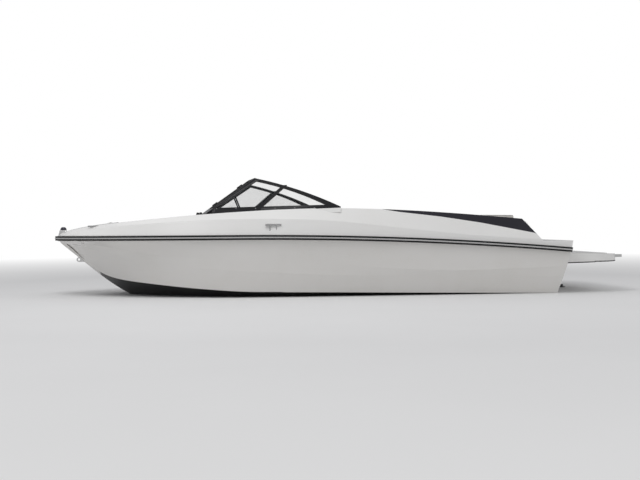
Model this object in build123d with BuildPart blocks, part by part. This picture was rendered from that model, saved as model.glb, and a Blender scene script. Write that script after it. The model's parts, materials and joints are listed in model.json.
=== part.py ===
"""A small open speedboat: moulded hull and deck, raked windshield with a centre gate,
two bucket seats, bow and aft seating, an engine hatch, a swim platform with a folding
ladder, and a sterndrive with its propeller.

Units are millimetres. +X is forward, +Y is port, +Z is up. The origin is on the
centreline at the waterline, at the middle of the waterplane.
"""
import math
import os

from build123d import *

# Driving dimensions of the hull and deck
TRANSOM_X = -2297.0          # transom corner at the sheer
TRANSOM_RAKE = 13.8          # degrees from upright
AFT_STATION = -2420.0        # where the mouldings are drawn to before the transom cut
DRAWN_BEAM = 1106.0          # half breadth that the section tables are drawn for
HALF_BEAM = 1106.0           # flange half breadth amidships
BEAM_X = 100.0               # where the beam is greatest
QUARTER_RADIUS = 88200.0     # plan arc aft of the greatest beam
SIDE_RADIUS = 7496.0         # plan arc forward of it
SHOULDER_RADIUS = 3107.0     # plan arc of the bow shoulder
NOSE_RADIUS = 120.0          # plan arc at the stem head
SIDE_TURN = 11.93            # heading, in degrees, where each plan arc ends
SHOULDER_TURN = 33.0
CHEEK_TURN = 62.0
SHEER_Z = 620.0              # sheer height forward
SHEER_BREAK_X = 1200.0       # the sheer drops aft of this point
SHEER_RADIUS = 38308.0
FLANGE = 30.0                # height of the hull and deck flanges at the sheer
INBOARD = 4.0                # the moulded skins start this far inside the flange

# Driving dimensions of the inside
COAMING_WIDTH = 265.0        # gunwale flange to the cockpit side
BOW_COAMING = 250.0
SOLE_Z = 100.0               # cockpit sole
BOW_SOLE_Z = 160.0           # bow footwell sole
BOW_SEAT_Z = 400.0           # moulded bow seat
WELL_AFT_X = -1220.0         # cockpit side of the engine bulkhead
BULKHEAD = 40.0
CONSOLE_AFT_X = 800.0        # aft edge of the dash
CONSOLE_FWD_X = 1620.0       # forward edge of the dash
CONSOLE_FACE_X = 1560.0      # face behind the bow backrests
WALKWAY = 250.0              # half width between the consoles
BRIDGE_Z = 800.0             # underside of the dash top
BOW_WELL_X = 2480.0          # forward end of the bow cockpit
BOW_FOOT_X = 2120.0          # forward end of the bow footwell
DECK_TOP = 1200.0            # above everything moulded
GAP = 6.0                    # running gap round lids and hatches
SOLE_MAT = 20.0              # panel laid on the moulded floor
SKI_AFT_X, SKI_FWD_X = -420.0, 560.0   # ski locker lid
SKI_HALF = 140.0
SKI_LIP = 14.0
SKI_FLOOR_Z = -120.0
ANCHOR_AFT_X, ANCHOR_FWD_X = 2560.0, 2800.0   # anchor locker lid
ANCHOR_AFT_HALF, ANCHOR_FWD_HALF = 150.0, 100.0
ANCHOR_LIP = 14.0
ANCHOR_LID_THICK = 16.0
ANCHOR_FLOOR_Z = 540.0
LANDING = 2.0                # a closed lid or hatch stands this far above its ledge
SEAT_GAP = 0.3               # soft pieces lie this far from what carries them

RUNNING_FIT = 0.05
HINGE_RADIUS = 5.0           # butt hinges of the gate, lids and hatch
HINGE_PIN = 2.2
HINGE_SIDE = 0.5
KNUCKLE = 22.0
LEAF = 24.0
LEAF_THICK = 2.0
LEAF_START = 9.0             # beyond this the leaves are let into what they hold
LEAF_SUNK = 4.0
LID_GAP = 3.0

# Consoles, helm and seats
CONSOLE_WALL = 25.0
FASCIA_Z = 560.0             # lower edge of the fascia
FASCIA_OUT_Y = HALF_BEAM - 326.0
GLOVEBOX_Y, GLOVEBOX_Z = 520.0, 690.0
GLOVEBOX_WIDTH, GLOVEBOX_HEIGHT = 340.0, 150.0
HELM_Y = 450.0               # starboard of the centreline
PANEL_Z = 690.0
PANEL_WIDTH, PANEL_HEIGHT, PANEL_DEPTH = 420.0, 150.0, 16.0
WHEEL_RADIUS = 172.0
WHEEL_RIM_RADIUS = 13.0
WHEEL_SHAFT_RADIUS = 11.0
WHEEL_REACH = 112.0          # wheel's plane to the panel
WHEEL_TILT = 24.0            # degrees of its axis above level
WHEEL_PLANE = Plane(
    origin=(690, -HELM_Y, 665), x_dir=(0, 1, 0),
    z_dir=(-math.cos(math.radians(WHEEL_TILT)), 0, math.sin(math.radians(WHEEL_TILT))),
)
THROTTLE_X, THROTTLE_Y, THROTTLE_Z = 560.0, HALF_BEAM - 336.0, 705.0
SEAT_X, SEAT_Y = 240.0, 450.0
SEAT_BASE_Z = 400.0
SEAT_BACK_Z = 880.0
SEAT_DEPTH, SEAT_WIDTH = 450.0, 460.0
BENCH_FWD_X = -720.0
BENCH_HALF = HALF_BEAM - 341.0
BENCH_SEAT_Z = 380.0
BENCH_PAD = 95.0
BENCH_BACK_Z = 765.0
BOW_PAD = 85.0
BOW_BACK_FOOT = 90.0         # depth of the bow backrest at its foot
BOW_BACK_Z = 790.0
BOW_BACK_MID_Y = 440.0
BOW_BACK_WIDTH = 350.0

# Driving dimensions of the stern
HATCH_HALF = HALF_BEAM - 326.0
HATCH_TOP_X = -1770.0        # top of the sloping aft face
HATCH_TOP_Z = 805.0
AFT_DECK_X = -1990.0         # foot of the sloping aft face
AFT_DECK_Z = 556.0
SUNPAD_Z = 770.0             # moulded top under the sun pads
HATCH_WALL = 28.0
HATCH_LEDGE_X = -1940.0
BULKHEAD_TOP_Z = 770.0
HINGE_X = -1262.0
HINGE_Z = 775.0
PLATFORM_END_X = -2920.0
PLATFORM_TOP_Z = 421.0
PLATFORM_DEPTH = 106.0
PLATFORM_HALF = HALF_BEAM - 121.0
PLATFORM_CORNER = 330.0

ENGINE_X = -1680.0
ENGINE_LENGTH, ENGINE_WIDTH, ENGINE_HEIGHT = 700.0, 520.0, 560.0
HINGE_Y = 420.0
SUNPAD_FWD_X, SUNPAD_AFT_X = -1294.0, -1786.0
SUNPAD_THICK = 64.0
PLATFORM_TIP_Z = 404.0
PLATFORM_LOW_Z = 314.0
PLATFORM_TIP_LOW_Z = 327.0
LADDER_Y = 665.0
LADDER_WIDTH = 270.0         # between the tubes' axes
LADDER_LENGTH = 430.0
LADDER_TUBE = 12.5
LADDER_PIVOT_X = -2936.0
LADDER_Z = 384.0
LADDER_BED_Z = 366.0
LADDER_PIN = 5.0
BRACKET = 8.0

BAY_AFT_X = -2080.0
BAY_HALF = 480.0
BAY_FLOOR_Z = -100.0
RAIL_HEIGHT = 48.0
RAIL_DEPTH = 26.0
INSERT_HEIGHT = 14.0
INSERT_DEPTH = 4.0
# Lower edge of the dark coaming moulding, from its tip aft, as (x, z)
COAMING_EDGE = [(-230, 910), (-482, 868), (-903, 818), (-1328, 752), (-1908, 639), (-1960, 600)]

# Sterndrive
PIVOT_X, PIVOT_Z = -2290.0, -120.0   # steering and tilting axes cross here
SHIELD_HALF, SHIELD_TALL = 165.0, 205.0
ARM = 28.0
ARM_HALF, ARM_SLIM = 20.0, 85.0      # the arms stay slim this far, so that the ring can turn
STEER_PIN = 14.0
TILT_PIN = 12.0
RING_OUTER, RING_INNER, RING_DEPTH = 125.0, 101.0, 48.0
BALL_RADIUS = 92.0
LEG_FWD_X = -2444.0
# The drive leg's tiers: low z, high z, forward x, after x, half width, corner radius
LEG_TABLE = [
    (-300, 10, LEG_FWD_X, -2610, 80, 55),
    (10, 34, LEG_FWD_X - 20, -2590, 60, 45),
    (-318, -304, -2400, -2770, 105, 60),
    (-480, -300, LEG_FWD_X - 10, -2600, 27, 26),
]
SHAFT_Z = -510.0
SKEG_Z = -745.0
TORPEDO_FWD_X = -2404.0
TORPEDO_RADIUS = 50.0
PROP_X = -2696.0             # forward face of the propeller's hub
PROP_LENGTH = 100.0
PROP_HUB = 48.0
PROP_SHAFT = 14.0
PROP_BLADES = 3
# Blade sections: radius, chord, pitch angle in degrees, thickness
PROP_SECTIONS = [(40, 88, 58, 14), (90, 130, 42, 10), (140, 128, 31, 7), (184, 62, 25, 4)]
RAM_Y = 150.0                # trim rams either side of the drive
RAM_FOOT_Z = -262.0
RAM_HEAD_X, RAM_HEAD_Z = -2590.0, -215.0
RAM_RADIUS = 24.0
RAM_ROD = 9.0
RAM_PIN = 8.0
RAM_EYE = 26.0
RAM_MOUTH = 245.0
RAM_ROD_LENGTH = 230.0

# Windshield
POST_Y = 258.0               # centre posts
GATE_GAP = 15.0              # post's axis to the gate's side
FRAME_BAR = 24.0
FRAME_DEPTH = 24.0
FRAME_SKIRT = 60.0           # the frame is drawn this far down, then cut to the deck
WING_ARCH = 30.0
GLASS = 5.0

# Fittings
NAV_X, NAV_Z = 3072.0, 744.0
# Cleats: name, x, how far inboard of the flange, height of the horn's axis above the deck, length
CLEATS = [("bow_cleats", 2706, 162, 5, 116), ("side_cleats", 830, 25, 26, 165)]
HANDLE_Y = HALF_BEAM - 206.0
HANDLE_START, HANDLE_LENGTH, HANDLE_RISE = 84.0, 135.0, 30.0
EYE_X, EYE_Z = 2905.0, 385.0
EYE_BORE = 12.5
STERN_EYE_Y, STERN_EYE_Z = 700.0, 150.0
FUEL_X, FUEL_Y = -60.0, HALF_BEAM - 201.0

# Stations that the mouldings are drawn through
AFT_STATIONS = [AFT_STATION, -1640.0, -860.0, -80.0, 700.0]
FORE_STATIONS = [700.0, 1000.0, 1300.0, 1600.0, 1900.0, 2200.0, 2500.0, 2800.0, 3100.0]

# Hull sections: station x, keel z, chine y and z, knuckle y and z, crease y and z
HULL_SECTIONS = [
    (AFT_STATION, -335, 948, -4, 1016, 178, 1044, 290),
    (-1000, -335, 955, 21, 1028, 200, 1056, 262),
    (300, -335, 955, 46, 1024, 230, 1048, 340),
    (1100, -322, 918, 62, 976, 273, 1000, 390),
    (1650, -268, 800, 99, 862, 312, 886, 415),
    (2100, -124, 610, 144, 676, 342, 720, 450),
    (2450, 58, 340, 184, 470, 420, 545, 512),
    (2700, 232, 76, 268, 300, 490, 380, 540),
    (2900, 411, 30, 432, 190, 545, 262, 570),
    (3040, 526, 14, 536, 90, 568, 130, 578),
    (3100, 572, 8, 576, 38, 581, 52, 585),
]
CHINE_FLAT = 55.0            # width of the flat that turns the spray down
STRAKES = [0.36, 0.68]       # spray strakes, as shares of the way from keel to chine
STRAKE_WIDTH = 34.0
STRAKE_STATIONS = [700.0, 1000.0, 1300.0, 1600.0, 1900.0]

# Deck sections: station x, crease y and z, edge y and z, crown above the edge
DECK_SECTIONS = [
    (AFT_STATION, 1056, 545, 1002, 722, 14),
    (-1700, 1076, 590, 1006, 797, 16),
    (-1000, 1085, 646, 1006, 857, 16),
    (-300, 1078, 730, 990, 899, 16),
    (300, 1062, 780, 968, 912, 16),
    (900, 1012, 806, 925, 896, 16),
    (1500, 905, 800, 818, 862, 16),
    (2050, 762, 772, 640, 818, 16),
    (2400, 600, 748, 470, 786, 14),
    (2700, 425, 722, 300, 756, 12),
    (2880, 290, 696, 190, 724, 10),
    (3030, 138, 668, 84, 690, 8),
    (3100, 62, 658, 36, 667, 4),
]


def between(table, x):
    """The row of a section table at station x, by a cubic through the neighbouring rows."""
    for row in range(len(table) - 1):
        if x <= table[row + 1][0]:
            break
    low, high = table[row], table[row + 1]
    before, after = table[max(row - 1, 0)], table[min(row + 2, len(table) - 1)]
    span = high[0] - low[0]
    t = (x - low[0]) / span
    values = []
    for column in range(1, len(low)):
        start = (high[column] - before[column]) / (high[0] - before[0]) * span
        end = (after[column] - low[column]) / (after[0] - low[0]) * span
        values.append(
            (2 * t**3 - 3 * t**2 + 1) * low[column]
            + (t**3 - 2 * t**2 + t) * start
            + (3 * t**2 - 2 * t**3) * high[column]
            + (t**3 - t**2) * end
        )
    return values


def hull_section(x):
    """The hull's section at station x, its breadths in proportion to the beam."""
    keel_z, chine_y, chine_z, knuckle_y, knuckle_z, crease_y, crease_z = between(HULL_SECTIONS, x)
    wide = HALF_BEAM / DRAWN_BEAM
    return keel_z, wide * chine_y, chine_z, wide * knuckle_y, knuckle_z, wide * crease_y, crease_z


def deck_section(x):
    """The deck's section at station x, its breadths in proportion to the beam."""
    crease_y, crease_z, edge_y, edge_z, crown = between(DECK_SECTIONS, x)
    wide = HALF_BEAM / DRAWN_BEAM
    return wide * crease_y, crease_z, wide * edge_y, edge_z, crown


def half_breadth(x):
    """Half breadth of the gunwale flange at station x, from the four plan arcs."""
    if x <= BEAM_X:
        return HALF_BEAM - (QUARTER_RADIUS - math.sqrt(QUARTER_RADIUS**2 - (x - BEAM_X) ** 2))
    turn, start_x, start_y = 0.0, BEAM_X, HALF_BEAM
    for radius, end in plan_arcs():
        end_x = start_x + radius * (math.sin(math.radians(end)) - math.sin(math.radians(turn)))
        if x <= end_x or end == 90.0:
            here = math.asin(min(1.0, math.sin(math.radians(turn)) + (x - start_x) / radius))
            return start_y - radius * (math.cos(math.radians(turn)) - math.cos(here))
        start_y -= radius * (math.cos(math.radians(turn)) - math.cos(math.radians(end)))
        start_x, turn = end_x, end
    return 0.0


def plan_arcs():
    """The plan arcs forward of the greatest beam, as (radius, heading where it ends)."""
    def drop(radius, turn, end):
        return radius * (math.cos(math.radians(turn)) - math.cos(math.radians(end)))

    left = HALF_BEAM - drop(SIDE_RADIUS, 0, SIDE_TURN) - drop(SHOULDER_RADIUS, SIDE_TURN, SHOULDER_TURN)
    left -= drop(NOSE_RADIUS, CHEEK_TURN, 90)
    cheek = left / (math.cos(math.radians(SHOULDER_TURN)) - math.cos(math.radians(CHEEK_TURN)))
    return [(SIDE_RADIUS, SIDE_TURN), (SHOULDER_RADIUS, SHOULDER_TURN), (cheek, CHEEK_TURN), (NOSE_RADIUS, 90.0)]


def sheer(x):
    """Height of the sheer at station x."""
    if x >= SHEER_BREAK_X:
        return SHEER_Z
    return SHEER_Z - (SHEER_RADIUS - math.sqrt(SHEER_RADIUS**2 - (x - SHEER_BREAK_X) ** 2))


def transom_x(z):
    """Where the raked transom is at height z."""
    return TRANSOM_X + (sheer(TRANSOM_X) - z) * math.tan(math.radians(TRANSOM_RAKE))


def gunwale(growth=0.0):
    """Plan outline of the gunwale flange, grown outwards by growth."""
    with BuildSketch(mode=Mode.PRIVATE) as outline:
        with BuildLine():
            quarter = math.degrees(math.asin((BEAM_X - AFT_STATION) / QUARTER_RADIUS))
            aft = JernArc((BEAM_X, HALF_BEAM), (-1, 0), QUARTER_RADIUS, quarter)
            end, heading, turned = (BEAM_X, HALF_BEAM), (1, 0), 0.0
            for radius, turn in plan_arcs():
                arc = JernArc(end, heading, radius, -(turn - turned))
                end, heading, turned = arc @ 1, arc % 1, turn
            mirror(about=Plane.XZ)
            Line(aft @ 1, ((aft @ 1).X, -(aft @ 1).Y))
        make_face()
        if growth:
            offset(amount=growth, kind=Kind.ARC)
    return outline.sketch


def sheer_layer(low, high):
    """Everything between two lines parallel to the sheer, low and high above it."""
    nose = 3400.0
    sweep_angle = math.degrees(math.asin((SHEER_BREAK_X - AFT_STATION) / SHEER_RADIUS))
    with BuildPart(mode=Mode.PRIVATE) as layer:
        with BuildSketch(Plane.XZ):
            with BuildLine():
                top = Line((nose, SHEER_Z + high), (SHEER_BREAK_X, SHEER_Z + high))
                upper = JernArc(top @ 1, (-1, 0), SHEER_RADIUS - high, sweep_angle)
                bottom = Line((nose, SHEER_Z + low), (SHEER_BREAK_X, SHEER_Z + low))
                lower = JernArc(bottom @ 1, (-1, 0), SHEER_RADIUS - low, sweep_angle)
                Line(upper @ 1, lower @ 1)
                Line(top @ 0, bottom @ 0)
            make_face()
        extrude(amount=1400, both=True)
    return layer.part


def flange_band(low, high, outer, inner=None):
    """A band that follows the plan outline and the sheer. Without inner it is a whole slab."""
    with BuildPart(mode=Mode.PRIVATE) as band:
        with BuildSketch(Plane.XY.offset(300)):
            add(gunwale(outer))
            if inner is not None:
                add(gunwale(inner), mode=Mode.SUBTRACT)
        extrude(amount=500)
        add(sheer_layer(low, high), mode=Mode.INTERSECT)
    return band.part


def behind_transom():
    """Everything aft of the raked transom."""
    with BuildPart(mode=Mode.PRIVATE) as space:
        with BuildSketch(Plane.XZ):
            with BuildLine():
                Polyline(
                    (transom_x(-900), -900), (transom_x(1200), 1200), (-3600, 1200), (-3600, -900), close=True
                )
            make_face()
        extrude(amount=1400, both=True)
    return space.part


def side_plane(y):
    """Plane at y, with x forward and z up; its extrusions run to starboard."""
    return Plane(origin=(0, y, 0), x_dir=(1, 0, 0), z_dir=(0, -1, 0))


def side_prism(points, half_width):
    """A side-view outline given as (x, z) points, carried across the boat."""
    with BuildPart(mode=Mode.PRIVATE) as prism:
        with BuildSketch(Plane.XZ):
            with BuildLine():
                Polyline(*points, close=True)
            make_face()
        extrude(amount=half_width, both=True)
    return prism.part


def well_outline(inset, aft, fore, corner):
    """Plan of an opening that keeps its distance from the gunwale between two stations."""
    with BuildSketch(mode=Mode.PRIVATE) as plan:
        add(gunwale(-inset))
        with Locations(((aft + fore) / 2, 0)):
            Rectangle(fore - aft, 2400, mode=Mode.INTERSECT)
        fillet(plan.vertices().group_by(Axis.X)[0] + plan.vertices().group_by(Axis.X)[-1], corner)
    return plan.sketch


def anchor_outline(growth):
    """Plan of the anchor locker's lid, grown outwards by growth."""
    with BuildSketch(mode=Mode.PRIVATE) as plan:
        with BuildLine():
            Polyline(
                (ANCHOR_AFT_X - growth, ANCHOR_AFT_HALF + growth),
                (ANCHOR_FWD_X + growth, ANCHOR_FWD_HALF + growth),
                (ANCHOR_FWD_X + growth, -ANCHOR_FWD_HALF - growth),
                (ANCHOR_AFT_X - growth, -ANCHOR_AFT_HALF - growth),
                close=True,
            )
        make_face()
        fillet(plan.vertices(), 30)
    return plan.sketch


def deck_height(x, y):
    """Height of the deck's surface at a point."""
    crease_y, crease_z, edge_y, edge_z, crown = deck_section(x)
    if abs(y) <= edge_y:
        return edge_z + crown * (1 - abs(y) / edge_y)
    if abs(y) <= crease_y:
        return edge_z + (crease_z - edge_z) * (abs(y) - edge_y) / (crease_y - edge_y)
    side, foot = half_breadth(x) - INBOARD, sheer(x) + FLANGE
    return crease_z + (foot - crease_z) * (abs(y) - crease_y) / (side - crease_y)


def hinge_fixed(plane):
    """The fixed half of a butt hinge with its pin; z runs along the pin and y points off the surface."""
    with BuildPart(mode=Mode.PRIVATE) as half:
        with BuildSketch(plane.offset(-KNUCKLE / 2)):
            Circle(HINGE_RADIUS)
            with Locations((-LEAF / 2, LEAF_THICK / 2 - HINGE_RADIUS)):
                Rectangle(LEAF, LEAF_THICK)
            with Locations((-(LEAF + LEAF_START) / 2, LEAF_THICK / 2 - LEAF_SUNK / 2 - HINGE_RADIUS)):
                Rectangle(LEAF - LEAF_START, LEAF_THICK + LEAF_SUNK)
        extrude(amount=KNUCKLE)
        with BuildSketch(plane.offset(-1.5 * KNUCKLE)):
            Circle(HINGE_PIN)
        extrude(amount=3 * KNUCKLE)
    return half.part


def hinge_moving(plane):
    """The moving half of the same hinge: a knuckle each side and its leaf along +x."""
    with BuildPart(mode=Mode.PRIVATE) as half:
        for start in (-1.5 * KNUCKLE, KNUCKLE / 2 + HINGE_SIDE):
            with BuildSketch(plane.offset(start)):
                Circle(HINGE_RADIUS)
                with Locations((LEAF / 2, LEAF_THICK / 2 - HINGE_RADIUS)):
                    Rectangle(LEAF, LEAF_THICK)
                with Locations(((LEAF + LEAF_START) / 2, LEAF_THICK / 2 - LEAF_SUNK / 2 - HINGE_RADIUS)):
                    Rectangle(LEAF - LEAF_START, LEAF_THICK + LEAF_SUNK)
                Circle(HINGE_PIN + RUNNING_FIT, mode=Mode.SUBTRACT)
            extrude(amount=KNUCKLE - HINGE_SIDE)
    return half.part


def export(part, name):
    """Labels a finished piece and writes it."""
    part.label = name
    export_step(part, f"parts/{name}.step")
    return part


def cut_cockpits(floor):
    """The open spaces inside the mouldings, from floor upwards, as one tool."""
    with BuildPart(mode=Mode.PRIVATE) as space:
        with BuildSketch(Plane.XY.offset(floor)):
            add(well_outline(COAMING_WIDTH, WELL_AFT_X, CONSOLE_AFT_X, 60))
        extrude(amount=DECK_TOP - floor)
        with BuildSketch(Plane.XY.offset(BOW_SEAT_Z)):
            add(well_outline(BOW_COAMING, CONSOLE_FWD_X, BOW_WELL_X, 60))
        extrude(amount=DECK_TOP - BOW_SEAT_Z)
        with BuildSketch(Plane.XY.offset(floor + BOW_SOLE_Z - SOLE_Z)) as foot:
            with Locations(((CONSOLE_FWD_X - 30 + BOW_FOOT_X) / 2, 0)):
                Rectangle(BOW_FOOT_X - CONSOLE_FWD_X + 30, 2 * WALKWAY)
            fillet([v for v in foot.sketch.vertices() if v.X > CONSOLE_FWD_X], 60)
        extrude(amount=DECK_TOP - floor)
        with BuildSketch(Plane.XY.offset(floor)):
            with Locations(((CONSOLE_AFT_X + CONSOLE_FWD_X) / 2, 0)):
                Rectangle(CONSOLE_FWD_X - CONSOLE_AFT_X, 2 * WALKWAY)
        extrude(amount=DECK_TOP - floor)
        with BuildSketch(Plane.XY.offset(floor)):
            add(well_outline(COAMING_WIDTH, CONSOLE_AFT_X - 100, CONSOLE_FWD_X - 30, 20))
        extrude(amount=BRIDGE_Z - floor)
    return space.part


os.makedirs("parts", exist_ok=True)


# Hull: a hard-chine planing bottom with a stepped topside, solid up to the cockpit sole
with BuildPart() as hull:
    for stations in (AFT_STATIONS, FORE_STATIONS):
        for x in stations:
            keel_z, chine_y, chine_z, knuckle_y, knuckle_z, crease_y, crease_z = hull_section(x)
            side = half_breadth(x) - INBOARD
            flat = min(CHINE_FLAT, 0.3 * chine_y)
            with BuildSketch(Plane.YZ.offset(x)):
                with BuildLine():
                    Polyline(
                        (0, keel_z),
                        (chine_y - flat, chine_z),
                        (chine_y, chine_z),
                        (knuckle_y, knuckle_z),
                        (crease_y, crease_z),
                        (side, sheer(x) - FLANGE),
                        (side, sheer(x) + 40),
                        (0, sheer(x) + 40),
                    )
                    mirror(about=Plane.YZ)
                make_face()
        loft()
    add(sheer_layer(0, 900), mode=Mode.SUBTRACT)
    add(flange_band(-FLANGE, 0, 0))
    for share in STRAKES:
        for stations in (AFT_STATIONS, STRAKE_STATIONS):
            with BuildPart(mode=Mode.PRIVATE) as strake_run:
                for x in stations:
                    keel_z, chine_y, chine_z, *_ = hull_section(x)
                    rise = (chine_z - keel_z) / (chine_y - CHINE_FLAT)
                    inner = share * (chine_y - CHINE_FLAT)
                    outer = inner + STRAKE_WIDTH * min(1.0, 0.2 + (STRAKE_STATIONS[-1] - x) / 1200)
                    with BuildSketch(Plane.YZ.offset(x)):
                        with BuildLine():
                            Polyline(
                                (inner, keel_z + rise * inner), (outer, keel_z + rise * inner),
                                (outer, keel_z + rise * outer + 12), (inner, keel_z + rise * inner + 12), close=True,
                            )
                        make_face()
                loft()
            add(strake_run.part)
            add(mirror(strake_run.part, about=Plane.XZ, mode=Mode.PRIVATE))
    add(behind_transom(), mode=Mode.SUBTRACT)
    add(cut_cockpits(SOLE_Z - SOLE_MAT), mode=Mode.SUBTRACT)
    with BuildSketch(Plane.XY.offset(BAY_FLOOR_Z)):
        with Locations(((BAY_AFT_X + WELL_AFT_X - BULKHEAD) / 2, 0)):
            Rectangle(WELL_AFT_X - BULKHEAD - BAY_AFT_X, 2 * BAY_HALF)
    extrude(amount=DECK_TOP, mode=Mode.SUBTRACT)
    with BuildSketch(Plane.XY.offset(SKI_FLOOR_Z)):
        with Locations(((SKI_AFT_X + SKI_FWD_X) / 2, 0)):
            RectangleRounded(SKI_FWD_X - SKI_AFT_X - 2 * SKI_LIP, 2 * (SKI_HALF - SKI_LIP), 30)
    extrude(amount=SOLE_Z - SKI_FLOOR_Z, mode=Mode.SUBTRACT)
    with BuildSketch(Plane.XY.offset(ANCHOR_FLOOR_Z)):
        add(anchor_outline(-ANCHOR_LIP))
    extrude(amount=DECK_TOP - ANCHOR_FLOOR_Z, mode=Mode.SUBTRACT)
export(hull.part, "hull")

# Deck moulding: foredeck, side decks, dash and the lowered aft deck
with BuildPart() as deck_solid:
    for stations in (AFT_STATIONS, FORE_STATIONS):
        for x in stations:
            crease_y, crease_z, edge_y, edge_z, crown = deck_section(x)
            side = half_breadth(x) - INBOARD
            with BuildSketch(Plane.YZ.offset(x)):
                with BuildLine():
                    Polyline(
                        (0, sheer(x) - 40),
                        (side, sheer(x) - 40),
                        (side, sheer(x) + FLANGE),
                        (crease_y, crease_z),
                        (edge_y, edge_z),
                        (0, edge_z + crown),
                    )
                    mirror(about=Plane.YZ)
                make_face()
        loft()
    add(sheer_layer(-900, 0), mode=Mode.SUBTRACT)
    add(flange_band(0, FLANGE, 0))
    add(behind_transom(), mode=Mode.SUBTRACT)
    add(cut_cockpits(SOLE_Z), mode=Mode.SUBTRACT)
    aft_cut = [
        (HATCH_TOP_X, DECK_TOP), (HATCH_TOP_X, HATCH_TOP_Z), (AFT_DECK_X, AFT_DECK_Z),
        (AFT_STATION - 100, AFT_DECK_Z), (AFT_STATION - 100, DECK_TOP),
    ]
    add(side_prism(aft_cut, 1400), mode=Mode.SUBTRACT)
    hatch_cut = [
        (WELL_AFT_X + 60, DECK_TOP), (WELL_AFT_X + 60, BULKHEAD_TOP_Z), (WELL_AFT_X - BULKHEAD, BULKHEAD_TOP_Z),
        (WELL_AFT_X - BULKHEAD, AFT_DECK_Z), (AFT_DECK_X - 20, AFT_DECK_Z), (AFT_DECK_X - 20, DECK_TOP),
    ]
    add(side_prism(hatch_cut, HATCH_HALF + GAP), mode=Mode.SUBTRACT)
    with BuildSketch(Plane.XY):
        with Locations(((HATCH_LEDGE_X + WELL_AFT_X - BULKHEAD) / 2, 0)):
            Rectangle(WELL_AFT_X - BULKHEAD - HATCH_LEDGE_X, 2 * (HATCH_HALF - 60))
    extrude(amount=DECK_TOP, mode=Mode.SUBTRACT)

# The anchor locker's lid takes its crowned top from the foredeck
ANCHOR_HINGES = [
    Plane(
        origin=(ANCHOR_AFT_X - GAP / 2, y, deck_height(ANCHOR_AFT_X, y) + HINGE_RADIUS),
        x_dir=(1, 0, 0), z_dir=(0, -1, 0),
    )
    for y in (-80, 80)
]
with BuildPart() as anchor_lid:
    add(deck_solid.part)
    with BuildSketch(Plane.XY.offset(ANCHOR_FLOOR_Z)):
        add(anchor_outline(0))
    extrude(amount=DECK_TOP, mode=Mode.INTERSECT)
    add(Pos(0, 0, -ANCHOR_LID_THICK) * deck_solid.part, mode=Mode.SUBTRACT)
    for plane in ANCHOR_HINGES:
        add(hinge_moving(plane))
export(anchor_lid.part, "anchor_lid")

HATCH_HINGES = [
    Plane(origin=(HINGE_X, y, HINGE_Z), x_dir=(-1, 0, 0), z_dir=(0, 1, 0)) for y in (-HINGE_Y, 0, HINGE_Y)
]
with BuildPart() as lid_recess:
    add(deck_solid.part)
    with BuildSketch(Plane.XY.offset(ANCHOR_FLOOR_Z)):
        add(anchor_outline(GAP))
    extrude(amount=DECK_TOP, mode=Mode.INTERSECT)
    add(Pos(0, 0, -ANCHOR_LID_THICK - LANDING) * deck_solid.part, mode=Mode.SUBTRACT)
with BuildPart() as deck_opened:
    add(deck_solid.part)
    add(lid_recess.part, mode=Mode.SUBTRACT)
    with BuildSketch(Plane.XY):
        add(anchor_outline(-ANCHOR_LIP))
    extrude(amount=DECK_TOP, mode=Mode.SUBTRACT)
    for plane in ANCHOR_HINGES + HATCH_HINGES:
        add(hinge_fixed(plane))

# The dark coaming moulding is the upper after part of each side deck
with BuildPart() as wedge:
    with BuildSketch(Plane.XZ):
        with BuildLine():
            Polyline(*COAMING_EDGE, (COAMING_EDGE[-1][0], DECK_TOP), (COAMING_EDGE[0][0], DECK_TOP), close=True)
        make_face()
    extrude(amount=1400, both=True)
coamings = []
for side, name in ((1, "coaming_port"), (-1, "coaming_starboard")):
    with BuildPart() as coaming:
        add(deck_opened.part)
        add(wedge.part, mode=Mode.INTERSECT)
        with BuildSketch(Plane.XY):
            with Locations((-1200, side * (HATCH_HALF + GAP + 400))):
                Rectangle(2400, 800)
        extrude(amount=DECK_TOP, mode=Mode.INTERSECT)
    coamings.append(export(coaming.part, name))
with BuildPart() as deck:
    add(deck_opened.part)
    for coaming_part in coamings:
        add(coaming_part, mode=Mode.SUBTRACT)
export(deck.part, "deck")

# Rubbing strake over the joint of hull and deck, with a bright strip along its middle
for name, half_height, outer, inner in (
    ("rub_rail", RAIL_HEIGHT / 2, RAIL_DEPTH, 0.0),
    ("rub_rail_insert", INSERT_HEIGHT / 2, RAIL_DEPTH + INSERT_DEPTH, RAIL_DEPTH),
):
    with BuildPart() as strake:
        add(flange_band(-half_height, half_height, outer, inner))
        add(behind_transom(), mode=Mode.SUBTRACT)
        add(hull.part, mode=Mode.SUBTRACT)
        add(deck_opened.part, mode=Mode.SUBTRACT)
    export(strake.part, name)

SKI_HINGES = [
    Plane(origin=(x, SKI_HALF + LID_GAP / 2, SOLE_Z + HINGE_RADIUS), x_dir=(0, -1, 0), z_dir=(-1, 0, 0))
    for x in (SKI_AFT_X + 200, SKI_FWD_X - 200)
]

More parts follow.
